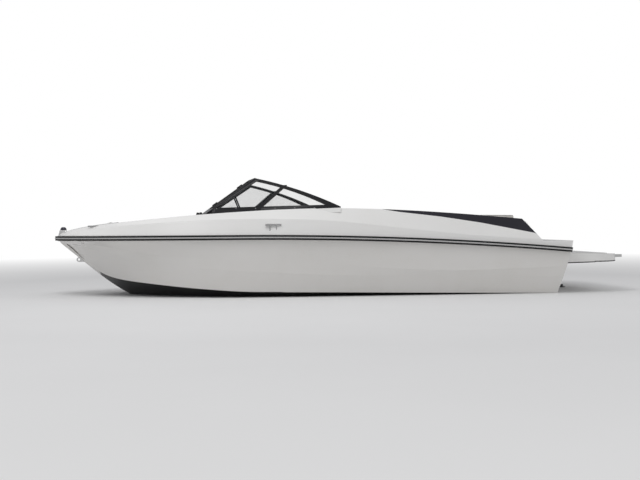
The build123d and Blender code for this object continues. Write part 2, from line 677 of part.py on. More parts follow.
# Floor panels of both cockpits, the after one with the ski locker's opening
with BuildPart() as cockpit_sole:
    for floor, near, far in ((SOLE_Z, WELL_AFT_X, CONSOLE_FWD_X), (BOW_SOLE_Z, CONSOLE_FWD_X, BOW_FOOT_X)):
        with BuildSketch(Plane.XY.offset(floor - SOLE_MAT)):
            with Locations(((near + far) / 2, 0)):
                Rectangle(far - near, 2400)
        extrude(amount=SOLE_MAT)
    add(cut_cockpits(SOLE_Z - SOLE_MAT), mode=Mode.INTERSECT)
    with BuildSketch(Plane.XY.offset(SOLE_Z - SOLE_MAT)):
        with Locations(((SKI_AFT_X + SKI_FWD_X) / 2, 0)):
            RectangleRounded(SKI_FWD_X - SKI_AFT_X + 2 * LID_GAP, 2 * (SKI_HALF + LID_GAP), 34)
    extrude(amount=SOLE_MAT, mode=Mode.SUBTRACT)
    for plane in SKI_HINGES:
        add(hinge_fixed(plane))
export(cockpit_sole.part, "cockpit_sole")

with BuildPart() as ski_locker_lid:
    with BuildSketch(Plane.XY.offset(SOLE_Z - SOLE_MAT + LANDING)):
        with Locations(((SKI_AFT_X + SKI_FWD_X) / 2, 0)):
            RectangleRounded(SKI_FWD_X - SKI_AFT_X, 2 * SKI_HALF, 30)
    extrude(amount=SOLE_MAT - LANDING)
    with BuildSketch(Plane.XY.offset(SOLE_Z)):
        with Locations(((SKI_AFT_X + SKI_FWD_X) / 2, -SKI_HALF + 40)):
            SlotOverall(90, 26)
    extrude(amount=-10, mode=Mode.SUBTRACT)
    for plane in SKI_HINGES:
        add(hinge_moving(plane))
export(ski_locker_lid.part, "ski_locker_lid")

GLOVEBOX_HINGES = [
    Plane(
        origin=(CONSOLE_AFT_X - HINGE_RADIUS, GLOVEBOX_Y + y, GLOVEBOX_Z - GLOVEBOX_HEIGHT / 2 + LID_GAP / 2),
        x_dir=(0, 0, 1), z_dir=(0, -1, 0),
    )
    for y in (-100, 100)
]

# Consoles: a wall beside the walkway and a fascia facing aft
for side, name in ((1, "console_port"), (-1, "console_starboard")):
    with BuildPart() as console:
        with BuildSketch(Plane.XY.offset(SOLE_Z)):
            with Locations(((CONSOLE_AFT_X + CONSOLE_FACE_X) / 2, side * (WALKWAY + CONSOLE_WALL / 2))):
                Rectangle(CONSOLE_FACE_X + 30 - CONSOLE_AFT_X, CONSOLE_WALL)
        extrude(amount=BRIDGE_Z - SOLE_Z)
        with BuildSketch(side_plane(side * (WALKWAY + CONSOLE_WALL))):
            with BuildLine():
                Polyline(
                    (CONSOLE_AFT_X, BRIDGE_Z), (CONSOLE_AFT_X, FASCIA_Z), (CONSOLE_AFT_X + 40, FASCIA_Z),
                    (CONSOLE_AFT_X + 150, BRIDGE_Z), close=True,
                )
            make_face()
        extrude(amount=-side * (FASCIA_OUT_Y - WALKWAY - CONSOLE_WALL))
        if side > 0:
            with BuildSketch(Plane.YZ.offset(CONSOLE_AFT_X)):
                with Locations((GLOVEBOX_Y, GLOVEBOX_Z)):
                    Rectangle(GLOVEBOX_WIDTH, GLOVEBOX_HEIGHT)
            extrude(amount=22, mode=Mode.SUBTRACT)
            for plane in GLOVEBOX_HINGES:
                add(hinge_fixed(plane))
    export(console.part, name)

with BuildPart() as glovebox_lid:
    with BuildSketch(Plane.YZ.offset(CONSOLE_AFT_X + 14)):
        with Locations((GLOVEBOX_Y, GLOVEBOX_Z)):
            RectangleRounded(GLOVEBOX_WIDTH - 2 * LID_GAP, GLOVEBOX_HEIGHT - 2 * LID_GAP, 16)
    extrude(amount=-14)
    for plane in GLOVEBOX_HINGES:
        add(hinge_moving(plane))
export(glovebox_lid.part, "glovebox_lid")

# Instruments and throttle at the helm
with BuildPart() as instrument_panel:
    with BuildSketch(Plane.YZ.offset(CONSOLE_AFT_X)):
        with Locations((-HELM_Y, PANEL_Z)):
            RectangleRounded(PANEL_WIDTH, PANEL_HEIGHT, 24)
    extrude(amount=-PANEL_DEPTH)
    with BuildSketch(Plane.YZ.offset(CONSOLE_AFT_X - PANEL_DEPTH)):
        with Locations((-HELM_Y - 140, PANEL_Z), (-HELM_Y + 140, PANEL_Z)):
            Circle(44)
        with Locations((-HELM_Y - 60, PANEL_Z + 16), (-HELM_Y + 60, PANEL_Z + 16)):
            Circle(27)
    extrude(amount=-9)
    with BuildSketch(WHEEL_PLANE.offset(-WHEEL_REACH)):
        Circle(WHEEL_SHAFT_RADIUS + 16)
    extrude(amount=WHEEL_REACH - 34)
    with BuildSketch(WHEEL_PLANE.offset(-40)):
        Circle(WHEEL_SHAFT_RADIUS)
    extrude(amount=52)
    add(console.part, mode=Mode.SUBTRACT)
export(instrument_panel.part, "instrument_panel")

with BuildPart() as steering_wheel:
    with BuildSketch(WHEEL_PLANE):
        Circle(38)
        with PolarLocations(0, 3, start_angle=-90):
            with Locations((WHEEL_RADIUS / 2, 0)):
                Rectangle(WHEEL_RADIUS, 30)
    extrude(amount=8)
    with BuildSketch(WHEEL_PLANE.offset(-24)):
        Circle(30)
    extrude(amount=24)
    rim_path = Wire(Edge.make_circle(WHEEL_RADIUS, WHEEL_PLANE.offset(4)))
    with BuildSketch(Plane(rim_path @ 0, z_dir=rim_path % 0)):
        Circle(WHEEL_RIM_RADIUS)
    sweep(path=rim_path)
    with BuildSketch(WHEEL_PLANE.offset(-30)):
        Circle(WHEEL_SHAFT_RADIUS + RUNNING_FIT)
    extrude(amount=44, mode=Mode.SUBTRACT)
export(steering_wheel.part, "steering_wheel")

with BuildPart() as throttle:
    with BuildSketch(side_plane(-THROTTLE_Y)):
        with Locations((THROTTLE_X, THROTTLE_Z)):
            RectangleRounded(110, 150, 30)
    extrude(amount=140)
    add(deck.part, mode=Mode.SUBTRACT)
    with BuildSketch(side_plane(-THROTTLE_Y + 16)):
        with Locations((THROTTLE_X, THROTTLE_Z)):
            Circle(24)
        with Locations(Location((THROTTLE_X + 22, THROTTLE_Z + 66), 72)):
            SlotOverall(190, 26)
    extrude(amount=16)
    with BuildSketch(side_plane(-THROTTLE_Y + 76)):
        with Locations((THROTTLE_X + 46, THROTTLE_Z + 142)):
            Circle(19)
    extrude(amount=70)
export(throttle.part, "throttle")

# Bucket seats on swivelling pedestals
def seat_back_x(z):
    """Forward face of a seat's back at height z."""
    return SEAT_X - 170 - 40 * (z - SEAT_BASE_Z) / (SEAT_BACK_Z - SEAT_BASE_Z)


for side, name in ((1, "passenger_seat"), (-1, "helm_seat")):
    spot = (SEAT_X, side * SEAT_Y)
    with BuildPart() as pedestal:
        with BuildSketch(Plane.XY.offset(SOLE_Z)):
            with Locations(spot):
                Circle(130)
        extrude(amount=12)
        with BuildSketch(Plane.XY.offset(SOLE_Z)):
            with Locations(spot):
                Circle(42)
        extrude(amount=SEAT_BASE_Z - SOLE_Z - 12)
        with BuildSketch(Plane.XY.offset(SEAT_BASE_Z - 12)):
            with Locations(spot):
                Circle(100)
        extrude(amount=11.5)
    export(pedestal.part, name + "_pedestal")
    with BuildPart() as shell:
        with BuildSketch(Plane.XY.offset(SEAT_BASE_Z)) as seat_plan:
            with Locations(spot):
                Rectangle(SEAT_DEPTH, SEAT_WIDTH)
            fillet(seat_plan.vertices(), 90)
        extrude(amount=30)
        with BuildSketch(side_plane(side * SEAT_Y + SEAT_WIDTH / 2)) as back_profile:
            with BuildLine():
                Polyline(
                    (seat_back_x(SEAT_BASE_Z + 10), SEAT_BASE_Z + 10), (seat_back_x(SEAT_BACK_Z), SEAT_BACK_Z),
                    (seat_back_x(SEAT_BACK_Z) - 24, SEAT_BACK_Z),
                    (seat_back_x(SEAT_BASE_Z + 10) - 34, SEAT_BASE_Z + 10), close=True,
                )
            make_face()
        extrude(amount=SEAT_WIDTH)
        fillet(shell.edges().filter_by(Axis.X).sort_by(Axis.Z)[-2:], 60)
    export(shell.part, name + "_shell")
    with BuildPart() as cushion:
        with BuildSketch(Plane.XY.offset(SEAT_BASE_Z + 30 + SEAT_GAP)) as pad_plan:
            with Locations((SEAT_X + 25, side * SEAT_Y)):
                Rectangle(SEAT_DEPTH - 60, SEAT_WIDTH - 20)
            fillet(pad_plan.vertices(), 80)
        extrude(amount=80)
        fillet(cushion.faces().sort_by(Axis.Z)[-1].edges(), 25)
    with BuildPart() as back_pad:
        with BuildSketch(side_plane(side * SEAT_Y + SEAT_WIDTH / 2 - 10)):
            with BuildLine():
                Polyline(
                    (seat_back_x(SEAT_BASE_Z + 112) + SEAT_GAP, SEAT_BASE_Z + 112),
                    (seat_back_x(SEAT_BACK_Z - 8) + SEAT_GAP, SEAT_BACK_Z - 8),
                    (SEAT_X - 150, SEAT_BACK_Z - 14), (SEAT_X - 100, SEAT_BASE_Z + 112), close=True,
                )
            make_face()
        extrude(amount=SEAT_WIDTH - 20)
        fillet(back_pad.faces().sort_by(Axis.Z)[-1].edges().sort_by(Axis.Y)[0], 30)
    pads = Compound(children=[cushion.part, back_pad.part])
    export(pads, name + "_cushions")

# After bench against the engine bulkhead
with BuildPart() as bench_base:
    with BuildSketch(Plane.XY.offset(SOLE_Z)):
        with Locations(((WELL_AFT_X + BENCH_FWD_X) / 2, 0)):
            Rectangle(BENCH_FWD_X - WELL_AFT_X, 2 * BENCH_HALF)
    extrude(amount=BENCH_SEAT_Z - SOLE_Z)
    with BuildSketch(Plane.YZ.offset(BENCH_FWD_X)):
        with Locations((0, (SOLE_Z + BENCH_SEAT_Z) / 2)):
            RectangleRounded(2 * BENCH_HALF - 240, BENCH_SEAT_Z - SOLE_Z - 120, 40)
    extrude(amount=-14, mode=Mode.SUBTRACT)
export(bench_base.part, "bench_base")
with BuildPart() as bench_cushion:
    with BuildSketch(Plane.XY.offset(BENCH_SEAT_Z + SEAT_GAP)) as bench_plan:
        with Locations(((WELL_AFT_X + BENCH_FWD_X + 110) / 2, 0)):
            Rectangle(BENCH_FWD_X - WELL_AFT_X - 90, 2 * BENCH_HALF - 10)
        fillet(bench_plan.vertices().sort_by(Axis.X)[-2:], 90)
    extrude(amount=BENCH_PAD)
    fillet(bench_cushion.faces().sort_by(Axis.Z)[-1].edges(), 25)
export(bench_cushion.part, "bench_cushion")
with BuildPart() as bench_backrest:
    with BuildSketch(side_plane(BENCH_HALF - 5)):
        with BuildLine():
            Polyline(
                (WELL_AFT_X + 0.3, BENCH_SEAT_Z + 5), (WELL_AFT_X + 0.3, BENCH_BACK_Z),
                (WELL_AFT_X + 60, BENCH_BACK_Z), (WELL_AFT_X + 98, BENCH_SEAT_Z + 5), close=True,
            )
        make_face()
    extrude(amount=2 * BENCH_HALF - 10)
    fillet(bench_backrest.edges().filter_by(Axis.Y).sort_by(Axis.Z)[-1], 25)
export(bench_backrest.part, "bench_backrest")

# Bow seating: a cushion each side of the footwell, and backrests on the consoles
for side, name in ((1, "port"), (-1, "starboard")):
    with BuildPart() as bow_cushion:
        with BuildSketch(Plane.XY.offset(BOW_SEAT_Z + SEAT_GAP)) as bow_plan:
            add(well_outline(BOW_COAMING + 5, CONSOLE_FWD_X + BOW_BACK_FOOT, BOW_WELL_X - 5, 50))
            with Locations(((CONSOLE_FWD_X + BOW_FOOT_X) / 2 - 50, 0)):
                Rectangle(BOW_FOOT_X - CONSOLE_FWD_X + 120, 2 * WALKWAY + 10, mode=Mode.SUBTRACT)
            with Locations((2000, side * 802)):
                Rectangle(1600, 1600, mode=Mode.INTERSECT)
        extrude(amount=BOW_PAD)
        fillet(bow_cushion.faces().sort_by(Axis.Z)[-1].edges(), 20)
    export(bow_cushion.part, "bow_cushion_" + name)
    with BuildPart() as bow_backrest:
        with BuildSketch(side_plane(side * BOW_BACK_MID_Y + BOW_BACK_WIDTH / 2)):
            with BuildLine():
                Polyline(
                    (CONSOLE_FWD_X + 0.3, BOW_SEAT_Z + 5), (CONSOLE_FWD_X + 0.3, BOW_BACK_Z),
                    (CONSOLE_FWD_X + 46, BOW_BACK_Z), (CONSOLE_FWD_X + BOW_BACK_FOOT - 6, BOW_SEAT_Z + 5), close=True,
                )
            make_face()
        extrude(amount=BOW_BACK_WIDTH)
        fillet(bow_backrest.edges().filter_by(Axis.Y).sort_by(Axis.Z)[-1], 20)
    export(bow_backrest.part, "bow_backrest_" + name)

# Engine, hatch and sun pad
with BuildPart() as engine:
    with BuildSketch(Plane.XY.offset(BAY_FLOOR_Z)):
        with Locations((ENGINE_X, 0)):
            Rectangle(ENGINE_LENGTH, ENGINE_WIDTH)
    extrude(amount=ENGINE_HEIGHT)
export(engine.part, "engine")

with BuildPart() as engine_hatch:
    fall = (HATCH_TOP_X - AFT_DECK_X) / (HATCH_TOP_Z - AFT_DECK_Z)
    outer = [
        (HINGE_X - GAP, SUNPAD_Z), (HATCH_TOP_X - (HATCH_TOP_Z - SUNPAD_Z) * fall, SUNPAD_Z),
        (AFT_DECK_X + LANDING * fall, AFT_DECK_Z + LANDING), (HINGE_X - GAP, AFT_DECK_Z + LANDING),
    ]
    inner = [
        (HINGE_X + 100, SUNPAD_Z - HATCH_WALL),
        (HATCH_TOP_X - (HATCH_TOP_Z - SUNPAD_Z) * fall + 10, SUNPAD_Z - HATCH_WALL),
        (AFT_DECK_X + 42, AFT_DECK_Z - 10), (HINGE_X + 100, AFT_DECK_Z - 10),
    ]
    add(side_prism(outer, HATCH_HALF))
    add(side_prism(inner, HATCH_HALF - HATCH_WALL), mode=Mode.SUBTRACT)
    for plane in HATCH_HINGES:
        add(hinge_moving(plane))
export(engine_hatch.part, "engine_hatch")

with BuildPart() as sunpad:
    for side in (1, -1):
        with BuildSketch(Plane.XY.offset(SUNPAD_Z + SEAT_GAP)) as sunpad_plan:
            with Locations(((SUNPAD_FWD_X + SUNPAD_AFT_X) / 2, side * (HATCH_HALF - 12) / 2)):
                Rectangle(SUNPAD_FWD_X - SUNPAD_AFT_X, HATCH_HALF - 22)
            fillet(sunpad_plan.vertices(), 40)
        extrude(amount=SUNPAD_THICK)
    fillet(sunpad.faces().group_by(Axis.Z)[-1].edges(), 20)
export(sunpad.part, "sunpad")

# Windshield: wraparound panes in a dark frame, open to the bow through a centre gate
def plane_through(corner, along, third):
    """Plane with its origin at corner, its x axis towards along, and third on its upper side."""
    x_dir = Vector(*along) - Vector(*corner)
    return Plane(origin=corner, x_dir=x_dir, z_dir=x_dir.cross(Vector(*third) - Vector(*corner)))


def on_plane(plane, points):
    """Points given in the boat's frame as (x, y) on a plane."""
    flat_points = [plane.to_local_coords(Vector(*point)) for point in points]
    return [(point.X, point.Y) for point in flat_points]


GATE_FOOT_X, GATE_FOOT_Z = 1505.0, 897.0
GATE_TOP_X, GATE_TOP_Z = 1040.0, 1227.0
GATE_PLANE = plane_through(
    (GATE_FOOT_X, POST_Y, GATE_FOOT_Z), (GATE_FOOT_X, -POST_Y, GATE_FOOT_Z), (GATE_TOP_X, POST_Y, GATE_TOP_Z)
)
gate_height = (Vector(GATE_FOOT_X, 0, GATE_FOOT_Z) - Vector(GATE_TOP_X, 0, GATE_TOP_Z)).length
GATE_HINGES = [
    Plane(
        origin=GATE_PLANE.from_local_coords((GATE_GAP / 2, up, -FRAME_DEPTH / 2 - HINGE_RADIUS)),
        x_dir=GATE_PLANE.x_dir, z_dir=GATE_PLANE.y_dir,
    )
    for up in (120, gate_height - 120)
]
SIDE_FOOT = (1447.0, HALF_BEAM - 316.0, 900.0)
SIDE_TIP = (130.0, HALF_BEAM - 121.0, 925.0)
TOP_CORNER = (989.0, HALF_BEAM - 360.0, 1229.0)
for side, name in ((1, "port"), (-1, "starboard")):
    def mirrored(point):
        """The point on this side of the boat."""
        return (point[0], side * point[1], point[2])

    post_foot, post_top = mirrored((GATE_FOOT_X, POST_Y, GATE_FOOT_Z)), mirrored((GATE_TOP_X, POST_Y, GATE_TOP_Z))
    foot, tip, corner = mirrored(SIDE_FOOT), mirrored(SIDE_TIP), mirrored(TOP_CORNER)
    front = plane_through(post_foot, foot, corner)
    wing = plane_through(foot, tip, corner)
    post_foot_2d, foot_2d, corner_2d, post_top_2d = on_plane(front, [post_foot, foot, corner, post_top])
    wing_foot_2d, tip_2d, wing_corner_2d = on_plane(wing, [foot, tip, corner])
    arch_2d = ((tip_2d[0] + wing_corner_2d[0]) / 2, (tip_2d[1] + wing_corner_2d[1]) / 2 + WING_ARCH)
    with BuildPart() as frame:
        with BuildSketch(front):
            with BuildLine():
                Polyline(
                    (post_foot_2d[0], -FRAME_SKIRT), (foot_2d[0], -FRAME_SKIRT), foot_2d, corner_2d,
                    post_top_2d, post_foot_2d, close=True,
                )
            make_face()
            with BuildLine():
                Polyline(
                    (post_foot_2d[0] + FRAME_BAR, FRAME_BAR), (foot_2d[0] - FRAME_BAR, FRAME_BAR),
                    (corner_2d[0] - FRAME_BAR, corner_2d[1] - FRAME_BAR),
                    (post_top_2d[0] + FRAME_BAR, post_top_2d[1] - FRAME_BAR), close=True,
                )
            make_face(mode=Mode.SUBTRACT)
        extrude(amount=FRAME_DEPTH / 2, both=True)
        with BuildSketch(wing):
            with BuildLine():
                ThreePointArc(tip_2d, arch_2d, wing_corner_2d)
                Polyline(
                    wing_corner_2d, wing_foot_2d, (wing_foot_2d[0], -FRAME_SKIRT),
                    (tip_2d[0], -FRAME_SKIRT), tip_2d,
                )
            make_face()
            with BuildLine():
                ThreePointArc(
                    (tip_2d[0] - 150, FRAME_BAR), (arch_2d[0] - 12, arch_2d[1] - FRAME_BAR - 6),
                    (wing_corner_2d[0] + 4, wing_corner_2d[1] - FRAME_BAR - 6),
                )
                Polyline(
                    (wing_corner_2d[0] + 4, wing_corner_2d[1] - FRAME_BAR - 6),
                    (wing_foot_2d[0] + FRAME_BAR + 20, FRAME_BAR), (tip_2d[0] - 150, FRAME_BAR),
                )
            make_face(mode=Mode.SUBTRACT)
            with BuildLine():
                Polyline(*on_plane(wing, [
                    mirrored((1000.0, HALF_BEAM - 255, 905.0)), mirrored((955.0, HALF_BEAM - 251, 905.0)),
                    mirrored((668.0, HALF_BEAM - 301, 1150.0)), mirrored((713.0, HALF_BEAM - 301, 1150.0)),
                ]), close=True)
            make_face()
        extrude(amount=FRAME_DEPTH / 2, both=True)
        rod = Wire(Edge.make_line(
            mirrored((1210.0, POST_Y + 12, 1102.0)), mirrored((1120.0, POST_Y + 30, 870.0))
        ))
        with BuildSketch(Plane(rod @ 0, z_dir=rod % 0)):
            Circle(8)
        sweep(path=rod)
        add(deck.part, mode=Mode.SUBTRACT)
        if side > 0:
            for plane in GATE_HINGES:
                add(hinge_fixed(plane))
    export(frame.part, "windshield_frame_" + name)
    with BuildPart() as glass:
        with BuildSketch(front):
            with BuildLine():
                Polyline(
                    (post_foot_2d[0] + FRAME_BAR, FRAME_BAR), (foot_2d[0] - FRAME_BAR, FRAME_BAR),
                    (corner_2d[0] - FRAME_BAR, corner_2d[1] - FRAME_BAR),
                    (post_top_2d[0] + FRAME_BAR, post_top_2d[1] - FRAME_BAR), close=True,
                )
            make_face()
        extrude(amount=GLASS / 2, both=True)
        with BuildSketch(wing):
            with BuildLine():
                ThreePointArc(
                    (tip_2d[0] - 150, FRAME_BAR), (arch_2d[0] - 12, arch_2d[1] - FRAME_BAR - 6),
                    (wing_corner_2d[0] + 4, wing_corner_2d[1] - FRAME_BAR - 6),
                )
                Polyline(
                    (wing_corner_2d[0] + 4, wing_corner_2d[1] - FRAME_BAR - 6),
                    (wing_foot_2d[0] + FRAME_BAR + 20, FRAME_BAR), (tip_2d[0] - 150, FRAME_BAR),
                )
            make_face()
        extrude(amount=GLASS / 2, both=True)
        add(frame.part, mode=Mode.SUBTRACT)
        add(deck.part, mode=Mode.SUBTRACT)
    export(glass.part, "windshield_glass_" + name)
gate_width = 2 * (POST_Y - GATE_GAP)
for name, depth, outer, inner in (
    ("gate_frame", FRAME_DEPTH, 0.0, FRAME_BAR), ("gate_glass", GLASS, FRAME_BAR, None),
):
    with BuildPart() as gate:
        with BuildSketch(GATE_PLANE):
            with Locations((POST_Y, gate_height / 2)):
                RectangleRounded(gate_width - 2 * outer, gate_height - 2 * outer, 24 if inner else 12)
                if inner:
                    RectangleRounded(gate_width - 2 * inner, gate_height - 2 * inner, 12, mode=Mode.SUBTRACT)
        extrude(amount=depth / 2, both=True)
        if inner:
            for plane in GATE_HINGES:
                add(hinge_moving(plane))
    export(gate.part, name)

# Swim platform and the folding ladder in its recess
def platform_outline(growth):
    """Plan of the swim platform, grown outwards by growth."""
    with BuildSketch(mode=Mode.PRIVATE) as plan:
        with Locations(((PLATFORM_END_X - growth) / 2, 0)):
            Rectangle(-PLATFORM_END_X + growth, 2 * (PLATFORM_HALF + growth))
        fillet(plan.vertices().sort_by(Axis.X)[:2], PLATFORM_CORNER)
    return plan.sketch


with BuildPart() as swim_platform:
    add(side_prism([
        (transom_x(PLATFORM_TOP_Z), PLATFORM_TOP_Z), (PLATFORM_END_X - 60, PLATFORM_TIP_Z),
        (PLATFORM_END_X - 60, PLATFORM_TIP_LOW_Z), (transom_x(PLATFORM_LOW_Z), PLATFORM_LOW_Z),
    ], 1100))
    with BuildSketch(Plane.XY):
        add(platform_outline(0))
    extrude(amount=600, mode=Mode.INTERSECT)
    with BuildSketch(Plane.XY.offset(LADDER_BED_Z)):
        with Locations((PLATFORM_END_X + LADDER_LENGTH / 2 - 30, LADDER_Y)):
            Rectangle(LADDER_LENGTH + 100, LADDER_WIDTH + 60)
    extrude(amount=200, mode=Mode.SUBTRACT)
export(swim_platform.part, "swim_platform")

with BuildPart() as ladder:
    for y in (-LADDER_WIDTH / 2, LADDER_WIDTH / 2):
        with BuildSketch(Plane.YZ.offset(LADDER_PIVOT_X - 14)):
            with Locations((LADDER_Y + y, LADDER_Z)):
                Circle(LADDER_TUBE)
        extrude(amount=LADDER_LENGTH)
    for rung in range(3):
        with BuildSketch(side_plane(LADDER_Y + LADDER_WIDTH / 2)):
            with Locations((LADDER_PIVOT_X + LADDER_LENGTH - 34 - rung * 125, LADDER_Z)):
                RectangleRounded(44, 2 * LADDER_TUBE - 2, 8)
        extrude(amount=LADDER_WIDTH)
    with BuildSketch(side_plane(LADDER_Y + LADDER_WIDTH / 2 + 30)):
        with Locations((LADDER_PIVOT_X, LADDER_Z)):
            Circle(LADDER_PIN + RUNNING_FIT)
    extrude(amount=LADDER_WIDTH + 60, mode=Mode.SUBTRACT)
export(ladder.part, "boarding_ladder")

with BuildPart() as ladder_bracket:
    for y in (-LADDER_WIDTH / 2 - LADDER_TUBE - 1, LADDER_WIDTH / 2 + LADDER_TUBE + 1 + BRACKET):
        with BuildSketch(side_plane(LADDER_Y + y)):
            with BuildLine():
                Polyline(
                    (LADDER_PIVOT_X - 16, LADDER_Z + 14), (LADDER_PIVOT_X - 16, LADDER_Z - 16),
                    (PLATFORM_END_X + 60, LADDER_BED_Z), (PLATFORM_END_X + 100, LADDER_BED_Z),
                    (PLATFORM_END_X + 60, LADDER_Z + 14), close=True,
                )
            make_face()
        extrude(amount=BRACKET)
    add(swim_platform.part, mode=Mode.SUBTRACT)
    with BuildSketch(side_plane(LADDER_Y + LADDER_WIDTH / 2 + LADDER_TUBE + 1 + BRACKET)):
        with Locations((LADDER_PIVOT_X, LADDER_Z)):
            Circle(LADDER_PIN)
    extrude(amount=LADDER_WIDTH + 2 * LADDER_TUBE + 2 + 2 * BRACKET)
export(ladder_bracket.part, "ladder_bracket")

# Sterndrive: shield on the transom, gimbal ring, drive leg, propeller, trim rams
with BuildPart() as transom_shield:
    shield_plane = Plane(
        origin=(transom_x(PIVOT_Z), 0, PIVOT_Z), x_dir=(0, 1, 0),
        z_dir=(-math.cos(math.radians(TRANSOM_RAKE)), 0, -math.sin(math.radians(TRANSOM_RAKE))),
    )
    with BuildSketch(shield_plane):
        RectangleRounded(2 * SHIELD_HALF, 2 * SHIELD_TALL, 60)
    extrude(amount=24)
    for z in (PIVOT_Z + RING_OUTER + 14, PIVOT_Z - RING_OUTER - 14 - ARM):
        with BuildSketch(Plane.XY.offset(z)):
            with BuildLine():
                Polyline(
                    (PIVOT_X + 200, -90), (PIVOT_X + ARM_SLIM, -ARM_HALF), (PIVOT_X, -ARM_HALF),
                    (PIVOT_X, ARM_HALF), (PIVOT_X + ARM_SLIM, ARM_HALF), (PIVOT_X + 200, 90), close=True,
                )
            make_face()
            with Locations((PIVOT_X, 0)):
                Circle(28)
        extrude(amount=ARM)
    with BuildSketch(Plane.XY.offset(-900)):
        with Locations((PIVOT_X, 0)):
            Circle(STEER_PIN + RUNNING_FIT)
    extrude(amount=1200, mode=Mode.SUBTRACT)
    add(hull.part, mode=Mode.SUBTRACT)
export(transom_shield.part, "transom_shield")

with BuildPart() as gimbal_ring:
    with BuildSketch(Plane.YZ.offset(PIVOT_X - RING_DEPTH / 2)):
        with Locations((0, PIVOT_Z)):
            Circle(RING_OUTER)
            Circle(RING_INNER, mode=Mode.SUBTRACT)
    extrude(amount=RING_DEPTH)
    with BuildSketch(Plane.XY.offset(PIVOT_Z - RING_OUTER - 14 - ARM)):
        with Locations((PIVOT_X, 0)):
            Circle(STEER_PIN)
    extrude(amount=ARM + 26)
    with BuildSketch(Plane.XY.offset(PIVOT_Z + RING_OUTER - 12)):
        with Locations((PIVOT_X, 0)):
            Circle(STEER_PIN)
    extrude(amount=ARM + 26)
    with BuildSketch(side_plane(RAM_Y - RAM_RADIUS - 1)):
        with Locations((PIVOT_X, RAM_FOOT_Z)):
            Circle(20)
    extrude(amount=2 * (RAM_Y - RAM_RADIUS - 1))
    with BuildSketch(Plane.YZ.offset(PIVOT_X - 16)):
        with Locations((-RAM_Y * 0.62, PIVOT_Z - RING_OUTER + 4), (RAM_Y * 0.62, PIVOT_Z - RING_OUTER + 4)):
            Rectangle(40, 60)
    extrude(amount=32)
    with BuildSketch(side_plane(RAM_Y + RAM_EYE / 2 + 8)):
        with Locations((PIVOT_X, RAM_FOOT_Z)):
            Circle(RAM_PIN)
    extrude(amount=2 * RAM_Y + RAM_EYE + 16)
    with BuildSketch(Plane.YZ.offset(PIVOT_X - RING_DEPTH)):
        with Locations((0, PIVOT_Z)):
            Circle(RING_INNER)
    extrude(amount=2 * RING_DEPTH, mode=Mode.SUBTRACT)
    with BuildSketch(Plane.XY.offset(PIVOT_Z - RING_OUTER - 12)):
        with Locations((PIVOT_X, 0)):
            Circle(46)
            Circle(STEER_PIN, mode=Mode.SUBTRACT)
    extrude(amount=-ARM - 4, mode=Mode.SUBTRACT)
    with BuildSketch(side_plane(RING_OUTER + 10)):
        with Locations((PIVOT_X, PIVOT_Z)):
            Circle(TILT_PIN + RUNNING_FIT)
    extrude(amount=2 * RING_OUTER + 20, mode=Mode.SUBTRACT)
export(gimbal_ring.part, "gimbal_ring")

with BuildPart() as drive_housing:
    with BuildSketch(Plane.XZ):
        with BuildLine():
            ball = CenterArc((PIVOT_X, PIVOT_Z), BALL_RADIUS, 0, 180)
            Line(ball @ 0, ball @ 1)
        make_face()
    revolve(axis=Axis((PIVOT_X, 0, PIVOT_Z), (1, 0, 0)))
    with BuildSketch(side_plane(RING_OUTER)):
        with Locations((PIVOT_X, PIVOT_Z)):
            Circle(TILT_PIN)
    extrude(amount=2 * RING_OUTER)
    with BuildSketch(Plane.YZ.offset(LEG_FWD_X - 40)):
        with Locations((0, PIVOT_Z)):
            Circle(46)
    extrude(amount=PIVOT_X - LEG_FWD_X)
    for low, high, fwd_x, aft_x, half, nose in LEG_TABLE:
        with BuildSketch(Plane.XY.offset(low)) as leg_plan:
            with Locations(((fwd_x + aft_x) / 2, 0)):
                Rectangle(fwd_x - aft_x, 2 * half)
            fillet(leg_plan.vertices(), nose)
        extrude(amount=high - low)
    with BuildSketch(Plane.XZ):
        with BuildLine():
            Polyline(
                (TORPEDO_FWD_X, SHAFT_Z), (TORPEDO_FWD_X - 70, SHAFT_Z + 40), (TORPEDO_FWD_X - 130, SHAFT_Z + TORPEDO_RADIUS),
                (PROP_X + 6, SHAFT_Z + TORPEDO_RADIUS - 6), (PROP_X + 6, SHAFT_Z), close=True,
            )
        make_face()
    revolve(axis=Axis((0, 0, SHAFT_Z), (1, 0, 0)))
    with BuildSketch(side_plane(6)):
        with BuildLine():
            Polyline(
                (TORPEDO_FWD_X - 90, SHAFT_Z - 20), (TORPEDO_FWD_X - 150, SKEG_Z), (TORPEDO_FWD_X - 215, SKEG_Z),
                (PROP_X + 30, SHAFT_Z - 20), close=True,
            )
        make_face()
    extrude(amount=12)
    with BuildSketch(Plane.YZ.offset(PROP_X - PROP_LENGTH - 20)):
        with Locations((0, SHAFT_Z)):
            Circle(PROP_SHAFT)
    extrude(amount=PROP_LENGTH + 60)
    with BuildSketch(side_plane(RAM_Y - RAM_EYE / 2 - 2)):
        with Locations((RAM_HEAD_X, RAM_HEAD_Z)):
            Circle(20)
    extrude(amount=2 * RAM_Y - RAM_EYE - 4)
export(drive_housing.part, "drive_housing")

